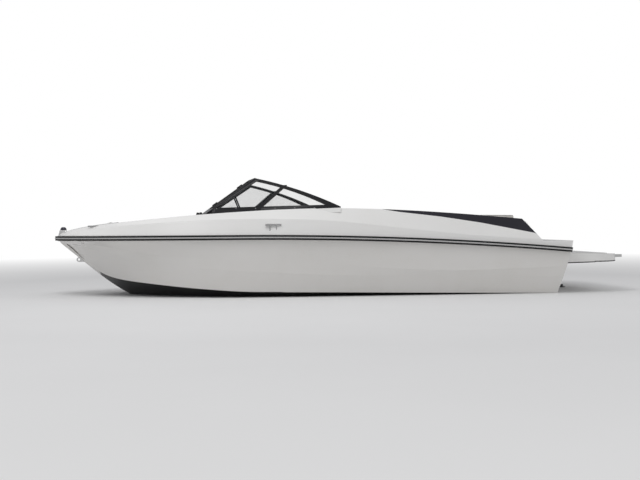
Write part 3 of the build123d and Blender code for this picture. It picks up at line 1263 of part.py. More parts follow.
with BuildPart() as propeller:
    with BuildSketch(Plane.YZ.offset(PROP_X - PROP_LENGTH)):
        with Locations((0, SHAFT_Z)):
            Circle(PROP_HUB - 6)
    with BuildSketch(Plane.YZ.offset(PROP_X)):
        with Locations((0, SHAFT_Z)):
            Circle(PROP_HUB)
    loft()
    for blade in range(PROP_BLADES):
        turn = Location((0, 0, SHAFT_Z), (360.0 * blade / PROP_BLADES, 0, 0))
        for radius, chord, pitch, thick in PROP_SECTIONS:
            with BuildSketch(Plane(turn) * Pos(PROP_X - PROP_LENGTH / 2, 0, radius) * Rot(0, 0, 90 - pitch)):
                Ellipse(chord / 2, thick / 2)
        loft()
    with BuildSketch(Plane.YZ.offset(PROP_X - PROP_LENGTH - 2)):
        with Locations((0, SHAFT_Z)):
            Circle(PROP_SHAFT + RUNNING_FIT)
    extrude(amount=PROP_LENGTH + 4, mode=Mode.SUBTRACT)
export(propeller.part, "propeller")

ram_angle = math.degrees(math.atan2(RAM_HEAD_Z - RAM_FOOT_Z, RAM_HEAD_X - PIVOT_X))
ram_length = math.hypot(RAM_HEAD_Z - RAM_FOOT_Z, RAM_HEAD_X - PIVOT_X)
for side, name in ((1, "port"), (-1, "starboard")):
    ram_plane = Plane(
        origin=(PIVOT_X, side * RAM_Y, RAM_FOOT_Z),
        x_dir=(0, 1, 0), z_dir=(math.cos(math.radians(ram_angle)), 0, math.sin(math.radians(ram_angle))),
    )
    with BuildPart() as barrel:
        with BuildSketch(ram_plane.offset(8)):
            Circle(RAM_RADIUS)
        extrude(amount=RAM_MOUTH - 8)
        with BuildSketch(side_plane(side * RAM_Y + RAM_EYE / 2)):
            with Locations((PIVOT_X, RAM_FOOT_Z)):
                Circle(18)
        extrude(amount=RAM_EYE)
        with BuildSketch(side_plane(side * RAM_Y + RAM_RADIUS + 5)):
            with Locations((PIVOT_X, RAM_FOOT_Z)):
                Circle(RAM_PIN + RUNNING_FIT)
        extrude(amount=2 * RAM_RADIUS + 10, mode=Mode.SUBTRACT)
        with BuildSketch(ram_plane.offset(RAM_MOUTH)):
            Circle(RAM_ROD + 0.5)
        extrude(amount=40 - RAM_MOUTH, mode=Mode.SUBTRACT)
    export(barrel.part, "trim_barrel_" + name)
    with BuildPart() as rod:
        with BuildSketch(ram_plane.offset(ram_length - RAM_ROD_LENGTH)):
            Circle(RAM_ROD)
        extrude(amount=RAM_ROD_LENGTH)
        with BuildSketch(side_plane(side * RAM_Y + RAM_EYE / 2)):
            with Locations((RAM_HEAD_X, RAM_HEAD_Z)):
                Circle(17)
        extrude(amount=RAM_EYE)
    export(rod.part, "trim_rod_" + name)

# Deck fittings
with BuildPart() as nav_light:
    with BuildSketch(Plane.XY.offset(640)) as nav_plan:
        with Locations((NAV_X, 0)):
            SlotOverall(100, 64)
    extrude(amount=NAV_Z - 640 - 26)
    add(deck.part, mode=Mode.SUBTRACT)
with BuildPart() as nav_lens:
    with BuildSketch(Plane.XY.offset(NAV_Z - 26)):
        with Locations((NAV_X - 6, 0)):
            SlotOverall(80, 50)
    extrude(amount=26)
    fillet(nav_lens.faces().sort_by(Axis.Z)[-1].edges(), 18)
nav_base = nav_light.part.solids().sort_by(SortBy.VOLUME)[-1]
export(Compound(children=[nav_base, nav_lens.part]), "nav_light")

for name, x, inboard, rise, length in CLEATS:
    pair = []
    y = half_breadth(x) - inboard
    z = deck_height(x, y) + rise
    for side in (1, -1):
        with BuildPart() as cleat:
            with BuildSketch(side_plane(side * y + 11)):
                with Locations((x, z)):
                    SlotOverall(length, 18)
            extrude(amount=22)
            for foot_x in (x - length / 5, x + length / 5):
                with BuildSketch(Plane.XY.offset(z - 60)):
                    with Locations((foot_x, side * y)):
                        Circle(8)
                extrude(amount=60)
            add(deck.part, mode=Mode.SUBTRACT)
        pair.append(cleat.part.solids().sort_by(SortBy.VOLUME)[-1])
    export(Compound(children=pair), name)

for side, hand in ((1, "port"), (-1, "starboard")):
    slope = math.atan2(HATCH_TOP_Z - AFT_DECK_Z, HATCH_TOP_X - AFT_DECK_X)
    face = Plane(
        origin=(HATCH_TOP_X, side * HANDLE_Y, HATCH_TOP_Z), x_dir=(-math.cos(slope), 0, -math.sin(slope)),
        z_dir=(-math.sin(slope), 0, math.cos(slope)),
    )
    with BuildPart() as handle:
        path = Wire([
            Edge.make_line(face.from_local_coords((HANDLE_START, 0, 0)), face.from_local_coords((HANDLE_START, 0, HANDLE_RISE))),
            Edge.make_line(face.from_local_coords((HANDLE_START, 0, HANDLE_RISE)), face.from_local_coords((HANDLE_START + HANDLE_LENGTH, 0, HANDLE_RISE))),
            Edge.make_line(face.from_local_coords((HANDLE_START + HANDLE_LENGTH, 0, HANDLE_RISE)), face.from_local_coords((HANDLE_START + HANDLE_LENGTH, 0, 0))),
        ])
        with BuildSketch(Plane(path @ 0, z_dir=path % 0)):
            Circle(8)
        sweep(path=path, transition=Transition.RIGHT)
    export(handle.part, "grab_handle_" + hand)

with BuildPart() as bow_eye:
    with BuildSketch(side_plane(7)) as eye_plan:
        with Locations((EYE_X, EYE_Z)):
            Circle(EYE_BORE + 13)
        with BuildLine():
            Polyline((EYE_X - 60, EYE_Z - 26), (EYE_X, EYE_Z - 26), (EYE_X, EYE_Z + 26), (EYE_X - 60, EYE_Z + 26), close=True)
        make_face()
        with Locations((EYE_X, EYE_Z)):
            Circle(EYE_BORE, mode=Mode.SUBTRACT)
    extrude(amount=14)
    add(hull.part, mode=Mode.SUBTRACT)
export(bow_eye.part.solids().sort_by(SortBy.VOLUME)[-1], "bow_eye")

stern_eyes = []
for side in (1, -1):
    with BuildPart() as stern_eye:
        with BuildSketch(side_plane(side * STERN_EYE_Y + 6)):
            with Locations((transom_x(STERN_EYE_Z) - 34, STERN_EYE_Z)):
                Circle(26)
            with Locations((transom_x(STERN_EYE_Z) - 10, STERN_EYE_Z)):
                Rectangle(60, 34)
            with Locations((transom_x(STERN_EYE_Z) - 34, STERN_EYE_Z)):
                Circle(EYE_BORE, mode=Mode.SUBTRACT)
        extrude(amount=12)
        add(hull.part, mode=Mode.SUBTRACT)
    stern_eyes.append(stern_eye.part.solids().sort_by(SortBy.VOLUME)[-1])
export(Compound(children=stern_eyes), "stern_eyes")

with BuildPart() as fuel_cap:
    with BuildSketch(Plane.XY.offset(880)):
        with Locations((FUEL_X, -FUEL_Y)):
            Circle(40)
    extrude(amount=38)
    add(deck.part, mode=Mode.SUBTRACT)
export(fuel_cap.part.solids().sort_by(SortBy.VOLUME)[-1], "fuel_cap")
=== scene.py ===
"""Looks of a small open speedboat: gelcoat mouldings, rubbing strake, windshield, upholstery,
helm, fittings, swim platform and sterndrive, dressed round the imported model.

Units are metres. +X is forward, +Y is port, +Z is up, and the floor lies at the waterline.
"""
import json
import logging
import math
from dataclasses import dataclass
from enum import Enum
from typing import Callable, Optional, Sequence

import bmesh
import bpy
from mathutils import Matrix, Vector

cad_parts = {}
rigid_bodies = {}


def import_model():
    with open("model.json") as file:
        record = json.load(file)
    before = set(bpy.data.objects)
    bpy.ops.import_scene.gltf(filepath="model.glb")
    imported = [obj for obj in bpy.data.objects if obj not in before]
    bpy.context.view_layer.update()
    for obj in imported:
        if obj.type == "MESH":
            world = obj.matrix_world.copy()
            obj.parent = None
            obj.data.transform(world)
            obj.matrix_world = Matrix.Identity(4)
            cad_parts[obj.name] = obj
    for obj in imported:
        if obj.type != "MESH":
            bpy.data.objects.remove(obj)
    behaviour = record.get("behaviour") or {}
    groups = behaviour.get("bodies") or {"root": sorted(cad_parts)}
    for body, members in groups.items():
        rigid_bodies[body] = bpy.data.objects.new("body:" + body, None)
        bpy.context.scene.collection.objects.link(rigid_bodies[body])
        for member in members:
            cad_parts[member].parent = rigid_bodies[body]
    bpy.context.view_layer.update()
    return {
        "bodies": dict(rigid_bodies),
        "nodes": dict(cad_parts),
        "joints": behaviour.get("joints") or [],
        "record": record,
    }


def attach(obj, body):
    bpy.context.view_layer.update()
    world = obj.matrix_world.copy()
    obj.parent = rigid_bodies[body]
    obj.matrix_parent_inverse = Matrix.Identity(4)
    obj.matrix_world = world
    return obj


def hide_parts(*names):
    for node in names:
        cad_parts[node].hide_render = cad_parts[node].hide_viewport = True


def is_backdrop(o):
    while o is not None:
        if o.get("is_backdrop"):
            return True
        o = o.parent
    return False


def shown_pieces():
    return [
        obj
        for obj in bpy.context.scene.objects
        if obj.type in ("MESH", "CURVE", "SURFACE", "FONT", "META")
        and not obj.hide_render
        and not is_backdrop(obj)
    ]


log = logging.getLogger("speedboat")

Color = tuple[float, float, float]
Point = tuple[float, float, float]
Profile = tuple[tuple[float, float], ...]
Outline = Sequence[tuple[float, float]]

UP: Point = (0.0, 0.0, 1.0)
DOWN: Point = (0.0, 0.0, -1.0)
AHEAD: Point = (1.0, 0.0, 0.0)
ASTERN: Point = (-1.0, 0.0, 0.0)

# A screw's head as shares of its radius, from the recess outward, and how deep its rim is sunk
SCREW_HEAD: Profile = ((0.18, 0.28), (0.45, 0.62), (0.8, 0.42))
SCREW_SINK = 0.001


class Pattern(Enum):
    """How a finish varies over its surface."""

    GELCOAT = "gelcoat"
    NON_SKID = "non_skid"
    VINYL = "vinyl"
    CARPET = "carpet"
    RUBBER = "rubber"
    PLASTIC = "plastic"
    BRUSHED = "brushed"
    CAST = "cast"
    ENAMEL = "enamel"
    PLAIN = "plain"


class Tree:
    """A node tree under construction, with short calls for nodes and links."""

    def __init__(self, tree: bpy.types.NodeTree) -> None:
        """Keeps the tree."""
        self.tree = tree

    def node(self, kind: str, **values: object) -> bpy.types.Node:
        """Adds a node.

        Args:
            kind: The node's type name.
            values: Properties to set, and inputs by name with underscores for spaces.

        Returns:
            The new node.
        """
        made = self.tree.nodes.new(kind)
        for name, value in values.items():
            if hasattr(made, name):
                setattr(made, name, value)
            else:
                self.put(made.inputs[name.replace("_", " ")], value)
        return made

    def put(self, socket: bpy.types.NodeSocket, value: object) -> None:
        """Sets a socket to a value, or links it to another socket.

        Args:
            socket: The input.
            value: The other socket, a colour or a plain value.
        """
        if isinstance(value, bpy.types.NodeSocket):
            self.tree.links.new(value, socket)
        elif isinstance(value, tuple) and socket.type == "RGBA":
            socket.default_value = (*value[:3], 1.0)
        else:
            socket.default_value = value

    def math(self, operation: str, first: object, second: object = 0.0) -> bpy.types.NodeSocket:
        """A Math node's result.

        Args:
            operation: What it works out.
            first: Its first value or socket.
            second: Its second value or socket.

        Returns:
            The result's socket.
        """
        made = self.tree.nodes.new("ShaderNodeMath")
        made.operation = operation
        self.put(made.inputs[0], first)
        self.put(made.inputs[1], second)
        return made.outputs[0]

    def ramp(self, value: object, low: float, high: float) -> bpy.types.NodeSocket:
        """A value mapped from low..high to 0..1 and clamped.

        Args:
            value: The value or socket.
            low: What becomes 0.
            high: What becomes 1.

        Returns:
            The result's socket.
        """
        made = self.tree.nodes.new("ShaderNodeMapRange")
        self.put(made.inputs["Value"], value)
        made.inputs["From Min"].default_value = low
        made.inputs["From Max"].default_value = high
        return made.outputs["Result"]

    def blend(self, share: object, first: object, second: object) -> bpy.types.NodeSocket:
        """A colour between first and second by share.

        Args:
            share: How much of the second there is, from 0 to 1.
            first: The first colour or socket.
            second: The second colour or socket.

        Returns:
            The colour's socket.
        """
        made = self.tree.nodes.new("ShaderNodeMix")
        made.data_type = "RGBA"
        self.put(made.inputs[0], share)
        self.put(made.inputs[6], first)
        self.put(made.inputs[7], second)
        return made.outputs[2]


def group(name: str, inputs: dict[str, tuple[str, object]], outputs: dict[str, str]) -> tuple[
    bpy.types.NodeTree, Tree, bpy.types.Node, bpy.types.Node
]:
    """Starts a shader node group.

    Args:
        name: The group's name.
        inputs: Socket kind and default for each input.
        outputs: Socket kind for each output.

    Returns:
        The group, its tree, and its input and output nodes.
    """
    made = bpy.data.node_groups.new(name, "ShaderNodeTree")
    for socket, (kind, value) in inputs.items():
        item = made.interface.new_socket(name=socket, in_out="INPUT", socket_type=kind)
        item.default_value = (*value, 1.0) if isinstance(value, tuple) else value
    for socket, kind in outputs.items():
        made.interface.new_socket(name=socket, in_out="OUTPUT", socket_type=kind)
    tree = Tree(made)
    return made, tree, made.nodes.new("NodeGroupInput"), made.nodes.new("NodeGroupOutput")


def mottle_group() -> bpy.types.NodeTree:
    """Broad, faint change of tone with fine speckle, as on any used surface.

    Returns:
        The group.
    """
    made, tree, given, out = group(
        "tone_mottle",
        {"Color": ("NodeSocketColor", (0.8, 0.8, 0.8)), "Soil": ("NodeSocketColor", (0.4, 0.4, 0.4)),
         "Scale": ("NodeSocketFloat", 3.0), "Amount": ("NodeSocketFloat", 0.2),
         "Roughness": ("NodeSocketFloat", 0.3), "Scatter": ("NodeSocketFloat", 0.1)},
        {"Color": "NodeSocketColor", "Roughness": "NodeSocketFloat"},
    )
    place = tree.node("ShaderNodeTexCoord").outputs["Object"]
    scale, scatter = given.outputs["Scale"], given.outputs["Scatter"]
    broad = tree.node("ShaderNodeTexNoise", Vector=place, Scale=scale, Detail=5.0, Roughness=0.6)
    fine = tree.node("ShaderNodeTexNoise", Vector=place, Scale=tree.math("MULTIPLY", scale, 37.0), Detail=3.0)
    share = tree.math("MULTIPLY", tree.ramp(broad.outputs[0], 0.42, 0.72), given.outputs["Amount"])
    share = tree.math("MULTIPLY", share, tree.math("ADD", tree.ramp(fine.outputs[0], 0.3, 0.7), 0.45))
    tree.put(out.inputs["Color"], tree.blend(share, given.outputs["Color"], given.outputs["Soil"]))
    spread = tree.math("MULTIPLY", tree.math("SUBTRACT", broad.outputs[0], 0.5), scatter)
    speckle = tree.math("SUBTRACT", fine.outputs[0], 0.5)
    speckle = tree.math("MULTIPLY", speckle, tree.math("MULTIPLY", scatter, 0.5))
    spread = tree.math("ADD", spread, speckle)
    tree.put(out.inputs["Roughness"], tree.math("ADD", given.outputs["Roughness"], spread))
    return made


def grain_group() -> bpy.types.NodeTree:
    """Leather-like grain: small rounded cells parted by creases.

    Returns:
        The group.
    """
    made, tree, given, out = group(
        "vinyl_grain", {"Scale": ("NodeSocketFloat", 900.0)},
        {"Height": "NodeSocketFloat", "Crease": "NodeSocketFloat"},
    )
    place = tree.node("ShaderNodeTexCoord").outputs["Object"]
    warp = tree.node("ShaderNodeTexNoise", Vector=place, Scale=60.0, Detail=2.0)
    bent = tree.node("ShaderNodeVectorMath", operation="MULTIPLY_ADD")
    tree.put(bent.inputs[0], warp.outputs["Color"])
    bent.inputs[1].default_value = (0.004, 0.004, 0.004)
    tree.put(bent.inputs[2], place)
    cells = tree.node("ShaderNodeTexVoronoi", feature="DISTANCE_TO_EDGE", Vector=bent.outputs[0],
                      Scale=given.outputs["Scale"])
    crease = tree.ramp(cells.outputs["Distance"], 0.0, 0.14)
    tree.put(out.inputs["Height"], crease)
    tree.put(out.inputs["Crease"], tree.math("SUBTRACT", 1.0, crease))
    return made


def pebble_group() -> bpy.types.NodeTree:
    """Moulded non-skid: close rounded pebbles, raised where the mask lets them.

    Returns:
        The group.
    """
    made, tree, given, out = group(
        "non_skid_pebbles", {"Scale": ("NodeSocketFloat", 260.0), "Mask": ("NodeSocketFloat", 1.0)},
        {"Height": "NodeSocketFloat"},
    )
    place = tree.node("ShaderNodeTexCoord").outputs["Object"]
    cells = tree.node("ShaderNodeTexVoronoi", feature="SMOOTH_F1", Vector=place, Scale=given.outputs["Scale"],
                      Smoothness=0.35)
    height = tree.math("SUBTRACT", 1.0, tree.ramp(cells.outputs["Distance"], 0.05, 0.6))
    tree.put(out.inputs["Height"], tree.math("MULTIPLY", height, given.outputs["Mask"]))
    return made


def peel_group() -> bpy.types.NodeTree:
    """The faint waviness that a sprayed or moulded skin shows in its reflections.

    Returns:
        The group.
    """
    made, tree, given, out = group(
        "orange_peel", {"Scale": ("NodeSocketFloat", 120.0)}, {"Height": "NodeSocketFloat"},
    )
    place = tree.node("ShaderNodeTexCoord").outputs["Object"]
    fine = tree.node("ShaderNodeTexNoise", Vector=place, Scale=given.outputs["Scale"], Detail=2.0)
    wide = tree.math("MULTIPLY", given.outputs["Scale"], 0.06)
    broad = tree.node("ShaderNodeTexNoise", Vector=place, Scale=wide)
    tree.put(out.inputs["Height"], tree.math(
        "ADD", tree.math("MULTIPLY", fine.outputs[0], 0.25), broad.outputs[0]))
    return made


def pile_group() -> bpy.types.NodeTree:
    """Short carpet pile: tufts in rows with stray fibres, and a Shade mask that is low deep between tufts,
    for painted shade.

    Returns:
        The group.
    """
    made, tree, given, out = group(
        "carpet_pile", {"Scale": ("NodeSocketFloat", 230.0)},
        {"Height": "NodeSocketFloat", "Shade": "NodeSocketFloat"},
    )
    place = tree.node("ShaderNodeTexCoord").outputs["Object"]
    tufts = tree.node("ShaderNodeTexVoronoi", feature="F1", Vector=place, Scale=given.outputs["Scale"])
    close = tree.math("MULTIPLY", given.outputs["Scale"], 3.0)
    stray = tree.node("ShaderNodeTexNoise", Vector=place, Scale=close, Detail=4.0)
    height = tree.math("SUBTRACT", 1.0, tufts.outputs["Distance"])
    tree.put(out.inputs["Height"], tree.math("ADD", height, tree.math("MULTIPLY", stray.outputs[0], 0.6)))
    tree.put(out.inputs["Shade"], tree.ramp(tree.math("ADD", height, stray.outputs[0]), 0.6, 1.6))
    return made


class Shaders:
    """The shared effects, each built once."""

    def __init__(self) -> None:
        """Builds every group."""
        self.mottle = mottle_group()
        self.grain = grain_group()
        self.pebbles = pebble_group()
        self.peel = peel_group()
        self.pile = pile_group()


@dataclass(frozen=True)
class Finish:
    """One surface finish and how its material is made."""

    name: str
    color: Color
    pattern: Pattern = Pattern.PLAIN
    roughness: float = 0.4
    metallic: float = 0.0
    coat: float = 0.0
    soil: Color = (0.35, 0.33, 0.3)
    amount: float = 0.12
    scatter: float = 0.08
    scale: float = 2.5
    bump: float = 0.2
    grain: float = 260.0
    sheen: float = 0.0
    specular: float = 0.5

    def build(self, shaders: Shaders, mask: Optional[Callable[[Tree], bpy.types.NodeSocket]] = None) -> (
            bpy.types.Material):
        """Makes the material.

        Args:
            shaders: The shared groups.
            mask: Gives where a non-skid pattern is, as a socket from 0 to 1.

        Returns:
            The material.
        """
        material = bpy.data.materials.new(self.name)
        material.use_nodes = True
        tree = Tree(material.node_tree)
        surface = material.node_tree.nodes["Principled BSDF"]
        tone = tree.node("ShaderNodeGroup", node_tree=shaders.mottle)
        for socket, value in (
            ("Color", self.color), ("Soil", self.soil), ("Scale", self.scale), ("Amount", self.amount),
            ("Roughness", self.roughness), ("Scatter", self.scatter),
        ):
            tree.put(tone.inputs[socket], value)
        color = tone.outputs["Color"]
        height: Optional[bpy.types.NodeSocket] = None
        distance = 0.0004
        if self.pattern in (Pattern.GELCOAT, Pattern.ENAMEL):
            peel = tree.node("ShaderNodeGroup", node_tree=shaders.peel)
            peel.inputs["Scale"].default_value = self.grain
            height = peel.outputs["Height"]
        elif self.pattern is Pattern.NON_SKID:
            pebbles = tree.node("ShaderNodeGroup", node_tree=shaders.pebbles)
            pebbles.inputs["Scale"].default_value = self.grain
            if mask is not None:
                where = mask(tree)
                tree.put(pebbles.inputs["Mask"], where)
                darker = tuple(0.86 * part for part in self.color)
                color = tree.blend(tree.math("MULTIPLY", where, 0.9), color, darker)
            height = pebbles.outputs["Height"]
            distance = 0.0006
        elif self.pattern is Pattern.VINYL:
            skin = tree.node("ShaderNodeGroup", node_tree=shaders.grain)
            skin.inputs["Scale"].default_value = self.grain
            height = skin.outputs["Height"]
            # The colour is darkened in the grain's creases as painted shade
            color = tree.blend(tree.math("MULTIPLY", skin.outputs["Crease"], 0.22), color,
                               tuple(0.6 * part for part in self.color))
            distance = 0.0003
        elif self.pattern is Pattern.CARPET:
            pile = tree.node("ShaderNodeGroup", node_tree=shaders.pile)
            pile.inputs["Scale"].default_value = self.grain
            height = pile.outputs["Height"]
            # The pile's colour is darkened deep between tufts as painted shade, with random fibre tone from
            # the stray noise
            color = tree.blend(pile.outputs["Shade"], tuple(0.45 * part for part in self.color), color)
            distance = 0.003
        elif self.pattern in (Pattern.RUBBER, Pattern.PLASTIC, Pattern.CAST):
            noise = tree.node("ShaderNodeTexNoise", Vector=tree.node("ShaderNodeTexCoord").outputs["Object"],
                              Scale=self.grain, Detail=4.0)
            height = noise.outputs[0]
            distance = 0.0009 if self.pattern is Pattern.CAST else 0.0003
        elif self.pattern is Pattern.BRUSHED:
            turned = tree.node("ShaderNodeMapping", Vector=tree.node("ShaderNodeTexCoord").outputs["Object"])
            turned.inputs["Scale"].default_value = (0.05, 1.0, 1.0)
            noise = tree.node("ShaderNodeTexNoise", Vector=turned.outputs[0], Scale=self.grain, Detail=3.0)
            height = noise.outputs[0]
            distance = 0.0001
        tree.put(surface.inputs["Base Color"], color)
        tree.put(surface.inputs["Roughness"], tone.outputs["Roughness"])
        surface.inputs["Metallic"].default_value = self.metallic
        surface.inputs["Coat Weight"].default_value = self.coat
        surface.inputs["Coat Roughness"].default_value = 0.06
        surface.inputs["Sheen Weight"].default_value = self.sheen
        surface.inputs["Specular IOR Level"].default_value = self.specular
        if height is not None:
            bump = tree.node("ShaderNodeBump", Strength=self.bump, Distance=distance, Height=height)
            tree.put(surface.inputs["Normal"], bump.outputs[0])
        return material


def glass_material(name: str, tint: Color, clear: float) -> bpy.types.Material:
    """Tinted sheet glass that shows what is behind it.

    Args:
        name: The material's name.
        tint: The colour that it passes.
        clear: How much of it is see-through, from 0 to 1.

    Returns:
        The material.
    """
    material = bpy.data.materials.new(name)
    material.use_nodes = True
    tree = Tree(material.node_tree)
    surface = material.node_tree.nodes["Principled BSDF"]
    place = tree.node("ShaderNodeTexCoord").outputs["Object"]
    film = tree.node("ShaderNodeTexNoise", Vector=place, Scale=14.0, Detail=4.0)
    tree.put(surface.inputs["Base Color"], tree.blend(
        tree.ramp(film.outputs[0], 0.5, 0.9), tint, tuple(0.85 * part + 0.1 for part in tint)))
    tree.put(surface.inputs["Roughness"], tree.math(
        "ADD", 0.02, tree.math("MULTIPLY", tree.ramp(film.outputs[0], 0.55, 0.8), 0.03)))
    surface.inputs["IOR"].default_value = 1.5
    tree.put(surface.inputs["Alpha"], tree.math(
        "ADD", 1.0 - clear, tree.math("MULTIPLY", tree.ramp(film.outputs[0], 0.5, 0.8), 0.04)))
    material.surface_render_method = "DITHERED"
    return material


GEL_WHITE: Color = (0.80, 0.785, 0.76)

HULL_GEL = Finish("hull_gel", GEL_WHITE, Pattern.GELCOAT, roughness=0.2, coat=0.5, soil=(0.6, 0.56, 0.48),
                  amount=0.12, scale=1.6, bump=0.06, grain=60.0)
# Near-black below the chine: painted shade of the hull's underside, not a paint colour of its own
BOTTOM_PAINTED_SHADE = Finish("bottom_painted_shade", (0.012, 0.012, 0.014), Pattern.GELCOAT, roughness=0.34, coat=0.2,
                      soil=(0.06, 0.06, 0.055), amount=0.5, bump=0.1, grain=80.0)
DECK_GEL = Finish("deck_gel", (0.84, 0.835, 0.82), Pattern.NON_SKID, roughness=0.22, coat=0.4,
                  soil=(0.6, 0.57, 0.5), amount=0.1, scale=1.8, bump=0.5, grain=230.0)
DARK_GEL = Finish("dark_gel", (0.009, 0.008, 0.015), Pattern.GELCOAT, roughness=0.18, coat=0.1,
                  soil=(0.03, 0.03, 0.04), amount=0.25, bump=0.06, grain=60.0, specular=0.25)
RAIL_VINYL = Finish("rail_vinyl", (0.008, 0.008, 0.009), Pattern.RUBBER, roughness=0.5,
                    soil=(0.03, 0.028, 0.026), specular=0.2, amount=0.4, bump=0.3, grain=700.0)
BRIGHT_STRIP = Finish("bright_strip", (0.72, 0.72, 0.71), Pattern.BRUSHED, roughness=0.24, metallic=1.0,
                      soil=(0.4, 0.39, 0.37), amount=0.3, bump=0.2, grain=900.0)
CARPET = Finish("sole_carpet", (0.36, 0.35, 0.335), Pattern.CARPET, roughness=0.9, soil=(0.16, 0.15, 0.13),
                amount=0.5, scale=2.0, bump=0.8, grain=230.0, sheen=0.3)
CABIN = Finish("cabin_plastic", (0.66, 0.64, 0.60), Pattern.PLASTIC, roughness=0.38, amount=0.15,
               bump=0.25, grain=800.0)
DARK_PLASTIC = Finish("dark_plastic", (0.02, 0.02, 0.022), Pattern.PLASTIC, roughness=0.42,
                      soil=(0.08, 0.08, 0.08), amount=0.35, bump=0.35, grain=1200.0)
VINYL_LIGHT = Finish("vinyl_light", (0.70, 0.68, 0.64), Pattern.VINYL, roughness=0.36,
                     soil=(0.42, 0.38, 0.32), amount=0.22, scale=3.0, bump=0.35, grain=620.0, sheen=0.1)
VINYL_GREY = Finish("vinyl_grey", (0.17, 0.17, 0.175), Pattern.VINYL, roughness=0.4, soil=(0.08, 0.08, 0.08),
                    amount=0.25, scale=3.0, bump=0.35, grain=620.0, sheen=0.1)
FRAME_BLACK = Finish("frame_black", (0.006, 0.006, 0.008), Pattern.ENAMEL, roughness=0.3,
                     soil=(0.025, 0.025, 0.025), amount=0.25, bump=0.1, grain=300.0, specular=0.2)
STAINLESS = Finish("stainless", (0.78, 0.78, 0.77), Pattern.BRUSHED, roughness=0.12, metallic=1.0,
                   soil=(0.5, 0.49, 0.46), amount=0.25, bump=0.08, grain=1200.0)
DRIVE_BLACK = Finish("drive_black", (0.014, 0.014, 0.016), Pattern.CAST, roughness=0.3, coat=0.3,
                     soil=(0.09, 0.09, 0.085), amount=0.4, scale=5.0, bump=0.2, grain=260.0)
CAST_ALLOY = Finish("cast_alloy", (0.36, 0.36, 0.365), Pattern.CAST, roughness=0.42, metallic=0.85,
                    soil=(0.2, 0.2, 0.19), amount=0.4, scale=6.0, bump=0.4, grain=420.0)
ENGINE_GREY = Finish("engine_grey", (0.05, 0.05, 0.054), Pattern.CAST, roughness=0.5, metallic=0.2,
                     soil=(0.14, 0.12, 0.1), amount=0.5, scale=6.0, bump=0.6, grain=300.0)

DECK_PLAIN = Finish("deck_plain", DECK_GEL.color, Pattern.GELCOAT, roughness=0.2, coat=0.5,
                    soil=DECK_GEL.soil, amount=0.1, bump=0.06, grain=60.0)
LENS_DARK = Finish("lens_dark", (0.012, 0.010, 0.028), Pattern.PLAIN, roughness=0.12, soil=(0.05, 0.05, 0.06),
                   amount=0.3, scale=20.0)
DIAL_BLACK = Finish("dial_black", (0.012, 0.012, 0.013), Pattern.PLASTIC, roughness=0.55, amount=0.2,
                    bump=0.1, grain=1500.0, soil=(0.04, 0.04, 0.04))
MARK_WHITE = Finish("mark_white", (0.78, 0.78, 0.76), Pattern.PLASTIC, roughness=0.5, amount=0.1,
                    bump=0.05, grain=2000.0)
NEEDLE_RED = Finish("needle_red", (0.62, 0.05, 0.02), Pattern.PLASTIC, roughness=0.4, amount=0.2,
                    soil=(0.3, 0.03, 0.02), bump=0.05, grain=2000.0)
COVER_GREY = Finish("cover_grey", (0.16, 0.165, 0.175), Pattern.CAST, roughness=0.42, metallic=0.5,
                    soil=(0.09, 0.08, 0.07), amount=0.5, scale=7.0, bump=0.4, grain=380.0)
HOSE_BLACK = Finish("hose_black", (0.012, 0.012, 0.012), Pattern.RUBBER, roughness=0.62,
                    soil=(0.08, 0.075, 0.07), amount=0.5, scale=9.0, bump=0.3, grain=900.0)

# Finish of each node that keeps its own mesh
NODE_FINISH = {
    "coaming_port": DARK_GEL, "coaming_starboard": DARK_GEL, "rub_rail": RAIL_VINYL,
    "rub_rail_insert": BRIGHT_STRIP, "cockpit_sole": CARPET, "ski_locker_lid": CARPET,
    "console_port": CABIN, "console_starboard": CABIN, "glovebox_lid": CABIN, "bench_base": CABIN,
    "instrument_panel": DARK_PLASTIC, "throttle": DARK_PLASTIC, "steering_wheel": DARK_PLASTIC,
    "helm_seat_pedestal": STAINLESS, "passenger_seat_pedestal": STAINLESS,
    "helm_seat_shell": CABIN, "passenger_seat_shell": CABIN,
    "windshield_frame_port": FRAME_BLACK, "windshield_frame_starboard": FRAME_BLACK,
    "gate_frame": FRAME_BLACK,
    "ladder_bracket": STAINLESS, "boarding_ladder": STAINLESS, "bow_cleats": STAINLESS,
    "side_cleats": STAINLESS, "grab_handle_port": STAINLESS, "grab_handle_starboard": STAINLESS,
    "bow_eye": STAINLESS, "stern_eyes": STAINLESS, "nav_light": STAINLESS, "fuel_cap": STAINLESS,
    "transom_shield": DRIVE_BLACK, "gimbal_ring": DRIVE_BLACK, "drive_housing": DRIVE_BLACK,
    "propeller": CAST_ALLOY, "trim_barrel_port": DRIVE_BLACK, "trim_barrel_starboard": DRIVE_BLACK,
    "trim_rod_port": STAINLESS, "trim_rod_starboard": STAINLESS, "engine": ENGINE_GREY,
    "bench_cushion": VINYL_LIGHT, "bench_backrest": VINYL_LIGHT, "bow_cushion_port": VINYL_LIGHT,
    "bow_cushion_starboard": VINYL_LIGHT, "bow_backrest_port": VINYL_LIGHT,
    "bow_backrest_starboard": VINYL_LIGHT, "helm_seat_cushions": VINYL_LIGHT,
    "passenger_seat_cushions": VINYL_LIGHT, "sunpad": VINYL_LIGHT,
}


class Finishes:
    """Every material of the boat, made once and handed out by finish."""

    def __init__(self) -> None:
        """Builds the shared groups."""
        self.shaders = Shaders()
        self.made: dict[str, bpy.types.Material] = {}

    def of(self, finish: Finish) -> bpy.types.Material:
        """The material of a finish.

        Args:
            finish: The finish.

        Returns:
            Its material, which all pieces of that finish share.
        """
        if finish.name not in self.made:
            self.made[finish.name] = finish.build(self.shaders)
        return self.made[finish.name]


def dress(piece: bpy.types.Object, *materials: bpy.types.Material) -> None:
    """Gives a piece its materials in place of what it has.

    Args:
        piece: The piece.
        materials: Its new materials in order.
    """
    piece.data.materials.clear()
    for material in materials:
        piece.data.materials.append(material)


